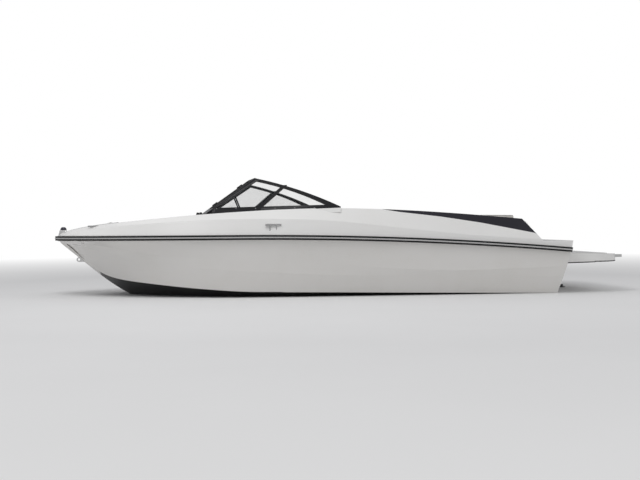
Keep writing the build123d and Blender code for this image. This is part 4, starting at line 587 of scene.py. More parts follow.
def only(piece: bpy.types.Object) -> None:
    """Selects one piece and makes it active.

    Args:
        piece: The piece.
    """
    bpy.ops.object.select_all(action="DESELECT")
    piece.hide_set(False)
    piece.select_set(True)
    bpy.context.view_layer.objects.active = piece


@dataclass(frozen=True)
class Lamp:
    """A square soft lamp: its place, what it is aimed at, its side and its power."""

    name: str
    place: Point
    aim: Point
    size: float
    power: float


@dataclass
class Studio:
    """Floor, soft light and the camera."""

    focal_px: float = 971.4
    place: Point = (1.44887, 10.9, 0.71893)
    yaw: float = math.radians(6.337)
    pitch: float = math.radians(0.763)
    roll: float = math.radians(-0.5)
    frame_px: float = 640.0
    sensor: float = 36.0
    far: float = 400.0
    lamps: tuple[Lamp, ...] = (
        Lamp("key", (3.0, 3.5, 7.5), (0.2, 0.0, 0.3), 4.0, 210.0),
        Lamp("fill", (-6.5, 4.0, 4.5), (-0.5, 0.0, 0.4), 4.0, 60.0))
    # Low and high tone of the surround, as light and as what shiny faces show
    glow: tuple[Color, Color] = ((0.26, 0.265, 0.275), (0.62, 0.62, 0.63))
    shine: tuple[Color, Color] = ((0.26, 0.26, 0.27), (0.95, 0.95, 0.96))
    white: Color = (1.0, 1.0, 1.0)
    floor_size: float = 360.0
    floor_tones: tuple[Color, Color] = ((0.74, 0.74, 0.74), (0.78, 0.78, 0.78))
    floor_roughness: float = 0.8
    # The floor fades into the white surround between these distances
    fade: tuple[float, float] = (5.0, 15.0)

    def camera(self) -> None:
        """Sets the camera at the photograph's place and angle."""
        ahead = Vector((-math.sin(self.yaw) * math.cos(self.pitch),
                        -math.cos(self.yaw) * math.cos(self.pitch), -math.sin(self.pitch)))
        right = Vector((-math.cos(self.yaw), math.sin(self.yaw), 0.0))
        above = right.cross(ahead)
        side = math.cos(self.roll) * right + math.sin(self.roll) * above
        top = -math.sin(self.roll) * right + math.cos(self.roll) * above
        data = bpy.data.cameras.new("camera")
        data.sensor_width = self.sensor
        data.lens = self.focal_px * self.sensor / self.frame_px
        data.clip_end = self.far
        camera = bpy.data.objects.new("camera", data)
        bpy.context.scene.collection.objects.link(camera)
        turn = Matrix((side, top, -ahead)).transposed().to_4x4()
        camera.matrix_world = Matrix.Translation(self.place) @ turn
        bpy.context.scene.camera = camera

    def world(self) -> None:
        """A white surround for the eye and a softer one for light."""
        world = bpy.data.worlds.new("surround")
        world.use_nodes = True
        bpy.context.scene.world = world
        tree = Tree(world.node_tree)
        tree.tree.nodes.clear()
        rays = tree.node("ShaderNodeLightPath")
        seen = tree.math("MAXIMUM", rays.outputs["Is Camera Ray"], rays.outputs["Is Transmission Ray"])
        direction = tree.node("ShaderNodeTexCoord").outputs["Generated"]
        upward = tree.node("ShaderNodeSeparateXYZ", Vector=direction).outputs["Z"]
        glow = tree.blend(tree.ramp(upward, -0.1, 0.9), *self.glow)
        shiny = tree.blend(tree.ramp(upward, 0.0, 0.6), *self.shine)
        glow = tree.blend(rays.outputs["Is Glossy Ray"], glow, shiny)
        color = tree.blend(seen, glow, self.white)
        shade = tree.node("ShaderNodeBackground", Color=color, Strength=1.0)
        out = tree.node("ShaderNodeOutputWorld")
        tree.put(out.inputs["Surface"], shade.outputs[0])

    def light(self) -> None:
        """Hangs the lamps."""
        for which in self.lamps:
            data = bpy.data.lights.new(which.name, "AREA")
            data.size = which.size
            data.energy = which.power
            lamp = bpy.data.objects.new(which.name, data)
            bpy.context.scene.collection.objects.link(lamp)
            lamp.location = which.place
            toward = Vector(which.aim) - Vector(which.place)
            lamp.rotation_euler = toward.to_track_quat("-Z", "Y").to_euler()

    def floor(self) -> None:
        """A pale floor at the waterline that fades into the white surround."""
        bpy.ops.object.select_all(action="DESELECT")
        bpy.ops.mesh.primitive_plane_add(size=self.floor_size, location=(0, 0, 0))
        floor = bpy.context.active_object
        floor.name = "floor"
        material = bpy.data.materials.new("pale_floor")
        material.use_nodes = True
        tree = Tree(material.node_tree)
        surface = material.node_tree.nodes["Principled BSDF"]
        place = tree.node("ShaderNodeTexCoord").outputs["Object"]
        grain = tree.node("ShaderNodeTexNoise", Vector=place, Scale=0.8, Detail=3.0)
        tree.put(surface.inputs["Base Color"], tree.blend(grain.outputs[0], *self.floor_tones))
        surface.inputs["Roughness"].default_value = self.floor_roughness
        away = tree.node("ShaderNodeVectorMath", operation="LENGTH")
        tree.put(away.inputs[0], place)
        rays = tree.node("ShaderNodeLightPath")
        share = tree.ramp(away.outputs["Value"], *self.fade)
        share = tree.math("MULTIPLY", share, rays.outputs["Is Camera Ray"])
        glow = tree.node("ShaderNodeEmission", Color=self.white, Strength=1.0)
        mixed = tree.node("ShaderNodeMixShader")
        tree.put(mixed.inputs[0], share)
        tree.put(mixed.inputs[1], surface.outputs[0])
        tree.put(mixed.inputs[2], glow.outputs[0])
        tree.put(material.node_tree.nodes["Material Output"].inputs["Surface"], mixed.outputs[0])
        dress(floor, material)
        floor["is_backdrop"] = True

    def build(self) -> None:
        """Makes the floor, the light and the camera."""
        bpy.context.scene.view_settings.view_transform = "Standard"
        self.camera()
        self.world()
        self.light()
        self.floor()


@dataclass
class Mouldings:
    """Hull and deck: gelcoat above the chine, near-black below it as painted shade of the underside, non-skid
    where one treads.
    """

    finishes: Finishes
    # The chine from astern forward, as x and height
    chine: Profile = (
        (-2.42, -0.004), (-1.0, 0.021), (0.3, 0.046), (1.1, 0.062), (1.65, 0.099), (2.1, 0.144),
        (2.45, 0.184), (2.7, 0.268), (2.9, 0.432), (3.04, 0.536), (3.1, 0.576))
    chine_gap: float = 0.002
    paint_end: float = 2.67
    transom: float = -2.15
    # The cockpit's floor inside the hull gets no painted shade
    well_half: float = 0.5
    well_floor: float = -0.13
    # Non-skid lies on faces this level, ahead of the bow well and on the stern
    level: tuple[float, float] = (0.93, 0.96)
    bow_tread: tuple[float, float] = (2.42, 2.44)
    stern_tread: tuple[float, float] = (-2.03, -2.01)

    def chine_at(self, x: float) -> float:
        """Height of the chine at a station.

        Args:
            x: The station.

        Returns:
            The height.
        """
        table = self.chine
        for low, high in zip(table, table[1:]):
            if x <= high[0]:
                return low[1] + (high[1] - low[1]) * (x - low[0]) / (high[0] - low[0])
        return table[-1][1]

    def hull(self) -> None:
        """Paints the hull near-black below its chine, as painted shade of the underside."""
        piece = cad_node("hull")
        dress(piece, self.finishes.of(HULL_GEL), self.finishes.of(BOTTOM_PAINTED_SHADE))
        for face in piece.data.polygons:
            middle = face.center
            well = abs(middle.y) < self.well_half and middle.z > self.well_floor and face.normal.z > 0.5
            low = middle.z < self.chine_at(middle.x) - self.chine_gap and face.normal.z < 0.05
            stern = middle.x < self.transom and face.normal.x < -0.8
            if low and not well and not stern and middle.x < self.paint_end:
                face.material_index = 1

    def build(self) -> None:
        """Dresses both mouldings."""
        self.hull()

        def treads(tree: Tree) -> bpy.types.NodeSocket:
            """Where the deck has non-skid: level faces at the bow and on the stern.

            Args:
                tree: The material's tree.

            Returns:
                The mask's socket.
            """
            turned = tree.node("ShaderNodeNewGeometry").outputs["Normal"]
            level = tree.ramp(tree.node("ShaderNodeSeparateXYZ", Vector=turned).outputs["Z"], *self.level)
            point = tree.node("ShaderNodeTexCoord").outputs["Object"]
            place = tree.node("ShaderNodeSeparateXYZ", Vector=point)
            ahead = tree.ramp(place.outputs["X"], *self.bow_tread)
            astern = tree.math("SUBTRACT", 1.0, tree.ramp(place.outputs["X"], *self.stern_tread))
            return tree.math("MULTIPLY", level, tree.math("MAXIMUM", ahead, astern))

        tread = DECK_GEL.build(self.finishes.shaders, treads)
        dress(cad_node("deck"), tread)
        dress(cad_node("anchor_lid"), tread)
        dress(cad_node("engine_hatch"), self.finishes.of(DECK_PLAIN))
        dress(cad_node("swim_platform"), tread)


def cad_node(name: str) -> bpy.types.Object:
    """The CAD node's object."""
    return bpy.data.objects[name]


def aimed(place: Point, toward: Point) -> Matrix:
    """A frame at a place with its Z axis toward a direction."""
    facing = Vector(toward).to_track_quat("Z", "Y").to_matrix().to_4x4()
    return Matrix.Translation(place) @ facing


def touch(node: str, start: Point, toward: Point) -> tuple[Vector, Vector]:
    """Where a line from a point first meets a node, and the surface's normal there.

    Args:
        node: The CAD node's name.
        start: The line's start.
        toward: Its direction.

    Returns:
        The point and the normal, or the start and the reversed direction where nothing is met.
    """
    way = Vector(toward).normalized()
    met, place, normal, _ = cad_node(node).ray_cast(Vector(start), way)
    return (place, normal) if met else (Vector(start), -way)


class Shape:
    """Pieces worked from an outline or a section in edit mode, then set in place."""

    @staticmethod
    def start(name: str, points: list[Point], edges: list[tuple[int, int]], faces: list[list[int]]) -> (
            bpy.types.Object):
        """A new object from a few points, selected and in edit mode.

        Args:
            name: The piece's name.
            points: Its points.
            edges: Pairs of points that edges join.
            faces: Rings of points that faces fill.

        Returns:
            The piece.
        """
        mesh = bpy.data.meshes.new(name)
        mesh.from_pydata(points, edges, faces)
        piece = bpy.data.objects.new(name, mesh)
        bpy.context.scene.collection.objects.link(piece)
        only(piece)
        bpy.ops.object.mode_set(mode="EDIT")
        bpy.ops.mesh.select_all(action="SELECT")
        return piece

    @staticmethod
    def end(piece: bpy.types.Object, place: Matrix, angle: float) -> bpy.types.Object:
        """Leaves edit mode, smooths and sets the piece in place.

        Args:
            piece: The piece.
            place: Where it stands.
            angle: Edges sharper than this stay crisp.

        Returns:
            The piece.
        """
        bpy.ops.mesh.select_all(action="SELECT")
        bpy.ops.mesh.normals_make_consistent(inside=False)
        bpy.ops.object.mode_set(mode="OBJECT")
        piece.data.transform(place)
        bpy.ops.object.shade_smooth_by_angle(angle=math.radians(angle))
        return piece

    @classmethod
    def turned(cls, name: str, profile: Outline, place: Matrix, steps: int = 28,
               angle: float = 35.0) -> bpy.types.Object:
        """A body of revolution about Z.

        Args:
            name: The piece's name.
            profile: Radius and height from one end to the other.
            place: Where it stands.
            steps: Facets round it.
            angle: Edges sharper than this stay crisp.

        Returns:
            The piece.
        """
        points = [(radius, 0.0, height) for radius, height in profile]
        piece = cls.start(name, points, [(i, i + 1) for i in range(len(points) - 1)], [])
        bpy.ops.mesh.spin(steps=steps, angle=math.tau, center=(0, 0, 0), axis=(0, 0, 1))
        bpy.ops.mesh.select_all(action="SELECT")
        bpy.ops.mesh.remove_doubles(threshold=1e-6)
        return cls.end(piece, place, angle)

    @classmethod
    def slab(cls, name: str, outline: Outline, thick: float, place: Matrix,
             bevel: float = 0.002, rim: float = 0.0, sink: float = 0.0) -> bpy.types.Object:
        """A plate pushed up from an outline, its edges eased, with an inset panel if asked.

        Args:
            name: The piece's name.
            outline: Its corners.
            thick: How far it is pushed along Z.
            place: Where it lies.
            bevel: Width of the eased edges.
            rim: Width left round an inset panel, or 0.
            sink: How far the panel is pushed down.

        Returns:
            The piece.
        """
        points = [(x, y, 0.0) for x, y in outline]
        piece = cls.start(name, points, [], [list(range(len(points)))])
        bpy.ops.mesh.extrude_region_move(TRANSFORM_OT_translate={"value": (0.0, 0.0, thick)})
        if rim > 0.0:
            bpy.ops.mesh.inset(thickness=rim, depth=-sink)
        cls.end(piece, Matrix.Identity(4), 30.0)
        if bevel > 0.0:
            eased = piece.modifiers.new("eased", "BEVEL")
            eased.width = bevel
            eased.segments = 2
            eased.limit_method = "ANGLE"
            bpy.ops.object.modifier_apply(modifier=eased.name)
        piece.data.transform(place)
        bpy.ops.object.shade_smooth_by_angle(angle=math.radians(35.0))
        return piece

    @classmethod
    def block(cls, name: str, size: Point, place: Matrix, bevel: float = 0.004, rim: float = 0.0,
              sink: float = 0.0) -> bpy.types.Object:
        """An eased block centred in plan on its place and rising along Z."""
        x, y = size[0] / 2, size[1] / 2
        return cls.slab(name, [(-x, -y), (x, -y), (x, y), (-x, y)], size[2], place, bevel, rim, sink)

    @staticmethod
    def tube(name: str, points: list[Point], radius: float, closed: bool = False, round_: bool = True,
             sides: int = 2) -> bpy.types.Object:
        """A round bar or bead along a line.

        Args:
            name: The piece's name.
            points: The line's points.
            radius: The bar's radius.
            closed: Whether the line runs back to its start.
            round_: Whether the line bends smoothly near its points.
            sides: How finely the round is drawn.

        Returns:
            The piece.
        """
        curve = bpy.data.curves.new(name, "CURVE")
        curve.dimensions = "3D"
        line = curve.splines.new("NURBS" if round_ else "POLY")
        line.points.add(len(points) - 1)
        for knot, point in zip(line.points, points):
            knot.co = (*point, 1.0)
        line.use_cyclic_u = closed
        if round_:
            line.order_u = 3
            line.use_endpoint_u = not closed
            line.resolution_u = 6
        curve.bevel_depth = radius
        curve.bevel_resolution = sides
        curve.use_fill_caps = not closed
        piece = bpy.data.objects.new(name, curve)
        bpy.context.scene.collection.objects.link(piece)
        only(piece)
        bpy.ops.object.convert(target="MESH")
        bpy.ops.object.shade_smooth_by_angle(angle=math.radians(50.0))
        return bpy.context.active_object

    @staticmethod
    def join(name: str, pieces: list[bpy.types.Object]) -> bpy.types.Object:
        """Joins dressed pieces into one.

        Args:
            name: The joined piece's name.
            pieces: The pieces.

        Returns:
            The joined piece.
        """
        bpy.ops.object.select_all(action="DESELECT")
        for piece in pieces:
            piece.select_set(True)
        bpy.context.view_layer.objects.active = pieces[0]
        bpy.ops.object.join()
        pieces[0].name = name
        return pieces[0]


def settle(piece: bpy.types.Object, body: str) -> bpy.types.Object:
    """Ties a finished piece to its body.

    Args:
        piece: The piece.
        body: What it rides on.

    Returns:
        The piece.
    """
    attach(piece, body)
    return piece


def scaled(profile: Profile, radius: float) -> list[tuple[float, float]]:
    """A profile whose radii are shares of a radius, at its real size."""
    return [(radius * share, height) for share, height in profile]


@dataclass
class Assembly:
    """A group of small parts that sit on the solids."""

    finishes: Finishes

    def clad(self, piece: bpy.types.Object, finish: Finish) -> bpy.types.Object:
        """Gives a piece one finish."""
        dress(piece, self.finishes.of(finish))
        return piece

    def lathe(self, name: str, profile: Outline, place: Matrix, steps: int,
              finish: Finish) -> bpy.types.Object:
        """A turned piece in one finish."""
        return self.clad(Shape.turned(name, profile, place, steps), finish)

    def box(self, name: str, size: Point, place: Matrix, finish: Finish, bevel: float = 0.004,
            rim: float = 0.0, sink: float = 0.0) -> bpy.types.Object:
        """An eased block in one finish."""
        return self.clad(Shape.block(name, size, place, bevel, rim, sink), finish)

    def screws(self, name: str, spots: list[tuple[Vector, Vector]], radius: float) -> None:
        """A pan-head screw with a recess at each spot.

        Args:
            name: The joined piece's name.
            spots: Each screw's place and the way that it faces.
            radius: The head's radius.
        """
        if not spots:
            log.warning("%s found no place", name)
            return
        log.info("%s: %d", name, len(spots))
        head = [(radius * wide, radius * high) for wide, high in SCREW_HEAD] + [(radius, -SCREW_SINK)]
        heads = [self.lathe("screw", head, aimed(tuple(place), tuple(facing)), 12, STAINLESS)
                 for place, facing in spots]
        settle(Shape.join(name, heads), "boat")


@dataclass
class TwoTone(Assembly):
    """The ladder and the throttle, which wear two finishes each."""

    ladder_y: float = 0.665
    tread_half: float = 0.118
    lever_y: tuple[float, float] = (-0.7685, -0.752)
    lever_top: float = 0.84

    def part_faces(self, node: str, base: Finish, accent: Finish, rule: Callable[[Vector], bool]) -> None:
        """Dresses a node in one finish, and in another where a rule holds.

        Args:
            node: The CAD node's name.
            base: The finish that it wears elsewhere.
            accent: The finish where the rule holds.
            rule: Tells from a face's middle whether the accent goes there.
        """
        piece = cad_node(node)
        dress(piece, self.finishes.of(base), self.finishes.of(accent))
        for face in piece.data.polygons:
            if rule(face.center):
                face.material_index = 1

    def build(self) -> None:
        """Gives the ladder dark treads and the throttle a bright lever."""
        near, far = self.lever_y
        self.part_faces("boarding_ladder", STAINLESS, DARK_PLASTIC,
                        lambda at: abs(at.y - self.ladder_y) < self.tread_half)
        self.part_faces("throttle", DARK_PLASTIC, STAINLESS,
                        lambda at: near < at.y <= far and at.z < self.lever_top)


@dataclass(frozen=True)
class Gauge:
    """A round gauge: its middle from the panel's, its radius and its reading from 0 to 1."""

    y: float
    z: float
    radius: float
    reading: float


@dataclass
class Helm(Assembly):
    """Gauges, switches, key, wheel cap and glovebox latch."""

    panel: Point = (0.775, -0.45, 0.690)
    panel_proud: float = 0.009
    gauges: tuple[Gauge, ...] = (
        Gauge(-0.14, 0.0, 0.044, 0.06), Gauge(0.14, 0.0, 0.044, 0.02),
        Gauge(-0.06, 0.016, 0.027, 0.62), Gauge(0.06, 0.016, 0.027, 0.48))
    # Profiles of a gauge, as shares of its radius and heights off the panel
    bezel: Profile = ((0.84, 0.001), (0.85, 0.0035), (0.93, 0.0062), (1.0, 0.0035), (1.01, -0.002))
    dial: Profile = ((0.0, 0.0008), (0.5, 0.0010), (0.86, 0.0012))
    cap: Profile = ((0.0, 0.0052), (0.08, 0.0050), (0.12, 0.0012))
    zero_angle: float = 225.0
    dial_sweep: float = 270.0
    # Marks and needle, as shares of the radius
    marks: int = 11
    long_mark: float = 0.16
    short_mark: float = 0.09
    mark_width: float = 0.035
    mark_reach: float = 0.80
    mark_lift: float = 0.0011
    mark_thick: float = 0.0005
    needle_half: float = 0.05
    needle_tail: float = 0.16
    needle_tip: float = 0.72
    needle_taper: float = 0.3
    needle_lift: float = 0.0032
    needle_thick: float = 0.0008
    # Two rows of rocker switches below the gauges
    switches_a_side: int = 4
    switch_first: float = 0.086
    switch_pitch: float = 0.030
    switch_drop: float = 0.060
    switch_frame: Point = (0.022, 0.030, 0.003)
    rocker: Point = (0.015, 0.022, 0.0045)
    rocker_lift: float = 0.0012
    rocker_tilt: float = 0.12
    dot: Point = (0.004, 0.0015, 0.0047)
    dot_up: float = 0.006
    key_up: float = 0.058
    key_lift: float = 0.003
    key_barrel: Profile = ((0.0, 0.004), (0.006, 0.004), (0.0085, 0.005), (0.012, 0.003), (0.012, -0.001))
    key_blade: Point = (0.002, 0.016, 0.018)
    hub: tuple[float, float] = (0.690, 0.665)
    wheel_rake: float = math.radians(24.0)
    wheel_cap: Profile = ((0.0, 0.018), (0.012, 0.0175), (0.024, 0.015), (0.033, 0.009), (0.036, 0.006))
    cap_ring: Profile = ((0.024, 0.0145), (0.0255, 0.0165), (0.0275, 0.0150), (0.0280, 0.0120))
    latch: Point = (0.790, 0.52, 0.735)
    latch_ring: Profile = ((0.0, 0.0035), (0.010, 0.0035), (0.013, 0.005), (0.017, 0.0035), (0.018, -0.001))
    latch_bar: Point = (0.004, 0.018, 0.004)
    latch_lift: float = 0.003

    def on_dial(self, place: Matrix, reading: float, shift: Point) -> Matrix:
        """A frame on a dial, turned to a reading and then moved outward and up."""
        angle = math.radians(self.zero_angle - self.dial_sweep * reading)
        return place @ Matrix.Rotation(angle - math.pi / 2, 4, "Z") @ Matrix.Translation(shift)

    def gauge(self, which: Gauge) -> list[bpy.types.Object]:
        """One round gauge: bezel, dial, cap, marks and needle.

        Args:
            which: The gauge.

        Returns:
            Its parts.
        """
        radius = which.radius
        x, y, z = self.panel
        place = aimed((x, y + which.y, z + which.z), ASTERN)
        parts = [
            self.lathe("bezel", scaled(self.bezel, radius), place, 40, STAINLESS),
            self.lathe("dial", scaled(self.dial, radius), place, 32, DIAL_BLACK),
            self.lathe("cap", scaled(self.cap, radius), place, 16, DARK_PLASTIC),
        ]
        for mark in range(self.marks):
            long = radius * (self.long_mark if mark % 2 == 0 else self.short_mark)
            frame = self.on_dial(place, mark / (self.marks - 1),
                                 (0.0, radius * self.mark_reach - long / 2, self.mark_lift))
            size = (radius * self.mark_width, long, self.mark_thick)
            parts.append(self.box("mark", size, frame, MARK_WHITE, 0.0))
        wide = radius * self.needle_half
        tail, tip, slim = -radius * self.needle_tail, radius * self.needle_tip, wide * self.needle_taper
        frame = self.on_dial(place, which.reading, (0.0, 0.0, self.needle_lift))
        parts.append(self.clad(Shape.slab("needle", [(-wide, tail), (wide, tail), (slim, tip), (-slim, tip)],
                                          self.needle_thick, frame, bevel=0.0), NEEDLE_RED))
        return parts

    def switches(self) -> list[bpy.types.Object]:
        """Rocker switches in a row on each side of the column.

        Returns:
            Their frames, rockers and dots.
        """
        x, y, z = self.panel
        parts = []
        for side in (-1, 1):
            for place in range(self.switches_a_side):
                out = side * (self.switch_first + self.switch_pitch * place)
                frame = aimed((x + self.panel_proud, y + out, z - self.switch_drop), ASTERN)
                rocker = frame @ Matrix.Translation((0.0, 0.0, self.rocker_lift)) @ Matrix.Rotation(
                    self.rocker_tilt, 4, "X")
                mark = rocker @ Matrix.Translation((0.0, self.dot_up, 0.0))
                parts.append(self.box("switch_frame", self.switch_frame, frame, DARK_PLASTIC,
                                      0.001, 0.0025, 0.0015))
                parts.append(self.box("rocker", self.rocker, rocker, DIAL_BLACK, 0.0012))
                parts.append(self.box("switch_dot", self.dot, mark, MARK_WHITE, 0.0))
        return parts

    def key(self) -> list[bpy.types.Object]:
        """The ignition key in its barrel.

        Returns:
            The barrel and the key's blade.
        """
        x, y, z = self.panel
        place = aimed((x + self.panel_proud, y, z + self.key_up), ASTERN)
        proud = place @ Matrix.Translation((0.0, 0.0, self.key_lift))
        return [
            self.lathe("key_barrel", self.key_barrel, place, 24, STAINLESS),
            self.box("key_blade", self.key_blade, proud, STAINLESS, 0.0006),
        ]

    def wheel(self) -> None:
        """The steering wheel's cap with its bright ring."""
        facing = (-math.cos(self.wheel_rake), 0.0, math.sin(self.wheel_rake))
        place = aimed((self.hub[0], self.panel[1], self.hub[1]), facing)
        cap = self.lathe("wheel_cap", self.wheel_cap, place, 36, DARK_PLASTIC)
        ring = self.lathe("cap_ring", self.cap_ring, place, 36, STAINLESS)
        settle(Shape.join("wheel_trim", [cap, ring]), "steering_wheel")

    def glovebox(self) -> None:
        """The glovebox's turning latch."""
        place = aimed(self.latch, ASTERN)
        proud = place @ Matrix.Translation((0, 0, self.latch_lift))
        parts = [
            self.lathe("latch_ring", self.latch_ring, place, 28, STAINLESS),
            self.box("latch_bar", self.latch_bar, proud, STAINLESS, 0.001),
        ]
        settle(Shape.join("glovebox_latch", parts), "glovebox_lid")

    def build(self) -> None:
        """Adds the instruments, the wheel's cap and the latch."""
        parts: list[bpy.types.Object] = []
        for which in self.gauges:
            parts += self.gauge(which)
        parts += self.switches() + self.key()
        settle(Shape.join("instruments", parts), "boat")
        self.wheel()
        self.glovebox()


@dataclass
class BowLight(Assembly):
    """The bow light: a dark domed lens on a flared bright base."""

    base_place: Point = (3.072, 0.0, 0.708)
    base_stretch: tuple[float, float] = (1.10, 0.68)
    dome_place: Point = (3.068, 0.0, 0.706)
    dome_stretch: tuple[float, float] = (1.05, 0.74)
    steps: int = 36
    flare: Profile = ((0.0, 0.002), (0.030, 0.002), (0.034, 0.0), (0.0355, -0.004), (0.037, -0.020),
                      (0.045, -0.050), (0.045, -0.056))
    lens: Profile = ((0.0, 0.0375), (0.012, 0.0365), (0.022, 0.032), (0.029, 0.022), (0.032, 0.010),
                     (0.0325, 0.0))
    ring: Profile = ((0.0325, 0.001), (0.0350, 0.0035), (0.0362, 0.001), (0.0350, -0.002))

    def build(self) -> None:
        """Adds the light in place of its node."""
        base = Matrix.Translation(self.base_place) @ Matrix.Diagonal((*self.base_stretch, 1.0, 1.0))
        dome = Matrix.Translation(self.dome_place) @ Matrix.Diagonal((*self.dome_stretch, 1.0, 1.0))
        parts = [
            self.lathe("flare", self.flare, base, self.steps, STAINLESS),
            self.lathe("lens", self.lens, dome, self.steps, LENS_DARK),
            self.lathe("lens_ring", self.ring, dome, self.steps, STAINLESS),
        ]
        piece = settle(Shape.join("bow_light", parts), "boat")
        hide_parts("nav_light")


@dataclass
class Speakers(Assembly):
    """Round speakers in the cockpit's sides."""

    middle: Point = (-0.45, 0.0, 0.52)
    wall: tuple[float, float] = (0.6, 1.05)
    surround: Profile = ((0.060, 0.004), (0.064, 0.008), (0.076, 0.009), (0.083, 0.005), (0.084, -0.004))
    grille: Profile = ((0.0, 0.009), (0.02, 0.0085), (0.045, 0.0065), (0.0615, 0.004))
    hoops: tuple[float, ...] = (0.018, 0.030, 0.042, 0.053)
    hoop_wire: float = 0.0016
    hoop_points: int = 20
    hoop_top: float = 0.0092
    hoop_fall: float = 0.00128
    hoop_fall_radius: float = 0.03

    def hoop(self, frame: Matrix, radius: float) -> bpy.types.Object:
        """One ring of the grille, lying on its dome.

        Args:
            frame: Where the speaker sits.
            radius: The ring's radius.

        Returns:
            The ring.
        """
        lift = self.hoop_top - self.hoop_fall * (radius / self.hoop_fall_radius) ** 2
        turns = [math.tau * step / self.hoop_points for step in range(self.hoop_points)]
        line = [tuple(frame @ Vector((radius * math.cos(a), radius * math.sin(a), lift))) for a in turns]
        return self.clad(Shape.tube("hoop", line, self.hoop_wire, closed=True, sides=1), DARK_PLASTIC)

    def build(self) -> None:
        """Adds a speaker on each side where the cockpit's wall is met."""
        parts = []
        for side in (-1, 1):
            for node in ("deck", "hull"):
                place, facing = touch(node, self.middle, (0.0, float(side), 0.0))
                if self.wall[0] < abs(place.y) < self.wall[1]:
                    break
            frame = aimed(tuple(place), tuple(facing))
            parts.append(self.lathe("surround", self.surround, frame, 40, DARK_PLASTIC))
            parts.append(self.lathe("grille", self.grille, frame, 40, DIAL_BLACK))
            parts += [self.hoop(frame, radius) for radius in self.hoops]
        settle(Shape.join("speakers", parts), "boat")


@dataclass
class HullFittings(Assembly):
    """Outlets through the hull near the bow, and the rubber trim round the swim platform."""

    outlet_x: float = 2.82
    outlet_z: float = 0.570
    outlet_radius: float = 0.015
    outside: float = 1.4
    flange: Profile = ((0.55, 0.0005), (0.6, 0.005), (0.8, 0.006), (1.0, 0.003), (1.02, -0.004))
    bore: Profile = ((0.0, 0.0006), (0.58, 0.0008))
    trim_radius: float = 0.0055
    side_y: float = 0.984
    side_x: tuple[float, ...] = (-2.27, -2.38, -2.49, -2.585)
    corner_x: float = -2.589
    corner_radius: float = 0.3285
    aft_y: tuple[float, ...] = (0.45, 0.2, 0.0)
    # The edge rises a little from its forward end to its after end
    slope_x: tuple[float, float] = (-2.27, -2.86)
    slope_z: float = 0.314
    slope_rise: float = 0.013
    trim_lift: float = 0.004
    aft_level_x: float = -2.85

    def outlets(self) -> None:
        """A flanged outlet on each side."""
        parts = []
        for side in (-1.0, 1.0):
            start = (self.outlet_x, side * self.outside, self.outlet_z)
            place, facing = touch("hull", start, (0.0, -side, 0.0))
            frame = aimed(tuple(place), tuple(facing))
            parts.append(self.lathe("flange", scaled(self.flange, self.outlet_radius), frame, 28, STAINLESS))
            parts.append(self.lathe("bore", scaled(self.bore, self.outlet_radius), frame, 20, DIAL_BLACK))
        settle(Shape.join("through_hulls", parts), "boat")

    def trim_height(self, x: float) -> float:
        """Height of the trim at station x."""
        start, end = self.slope_x
        return self.slope_z + (x - start) / (end - start) * self.slope_rise + self.trim_lift

    def trim(self) -> None:
        """The trim round the platform's edge, from side to side."""
        level = self.trim_height(self.aft_level_x)
        radius = self.corner_radius
        turns = [math.radians(step) for step in range(0, 91, 10)]
        edge: list[Point] = [(x, self.side_y, self.trim_height(x)) for x in self.side_x]
        edge += [(self.corner_x - radius * math.sin(a), self.side_y - radius + radius * math.cos(a), level)
                 for a in turns]
        edge += [(self.corner_x - radius, y, level) for y in self.aft_y]
        run = edge + [(x, -y, z) for x, y, z in reversed(edge[:-1])]
        trim = self.clad(Shape.tube("platform_trim", run, self.trim_radius, round_=False), RAIL_VINYL)
        settle(trim, "boat")

    def build(self) -> None:
        """Adds the outlets and the trim."""
        self.outlets()
        self.trim()


@dataclass
class Fasteners(Assembly):
    """Rows of screws where the fittings are held down."""

    cleat_x: tuple[float, float] = (0.775, 0.885)
    cleat_y: float = 1.045
    cleat_above: float = 0.9
    frame_x: tuple[float, ...] = (1.40, 1.2, 1.0, 0.8, 0.6, 0.4)
    frame_z: float = 0.917
    outside: float = 1.3
    frame_reach: float = 1.2
    cap_middle: tuple[float, float] = (-0.06, -0.905)
    cap_ring: float = 0.033
    cap_angles: tuple[float, ...] = (0.5, 2.6, 4.7)
    cap_above: float = 1.0
    large: float = 0.0045
    small: float = 0.003

    def build(self) -> None:
        """Finds each screw's place on its fitting and adds the screws."""
        feet, frame = [], []
        for side, hand in ((-1.0, "starboard"), (1.0, "port")):
            for x in self.cleat_x:
                feet.append(touch("side_cleats", (x, side * self.cleat_y, self.cleat_above), DOWN))
            for x in self.frame_x:
                place, facing = touch("windshield_frame_" + hand, (x, side * self.outside, self.frame_z),
                                      (0.0, -side, 0.0))
                if abs(place.y) < self.frame_reach:
                    frame.append((place, facing))
        self.screws("cleat_screws", feet, self.large)
        self.screws("frame_screws", frame, self.large)
        x, y = self.cap_middle
        spots = [(x + self.cap_ring * math.cos(a), y + self.cap_ring * math.sin(a)) for a in self.cap_angles]
        caps = [touch("fuel_cap", (*spot, self.cap_above), DOWN) for spot in spots]
        self.screws("cap_screws", caps, self.small)


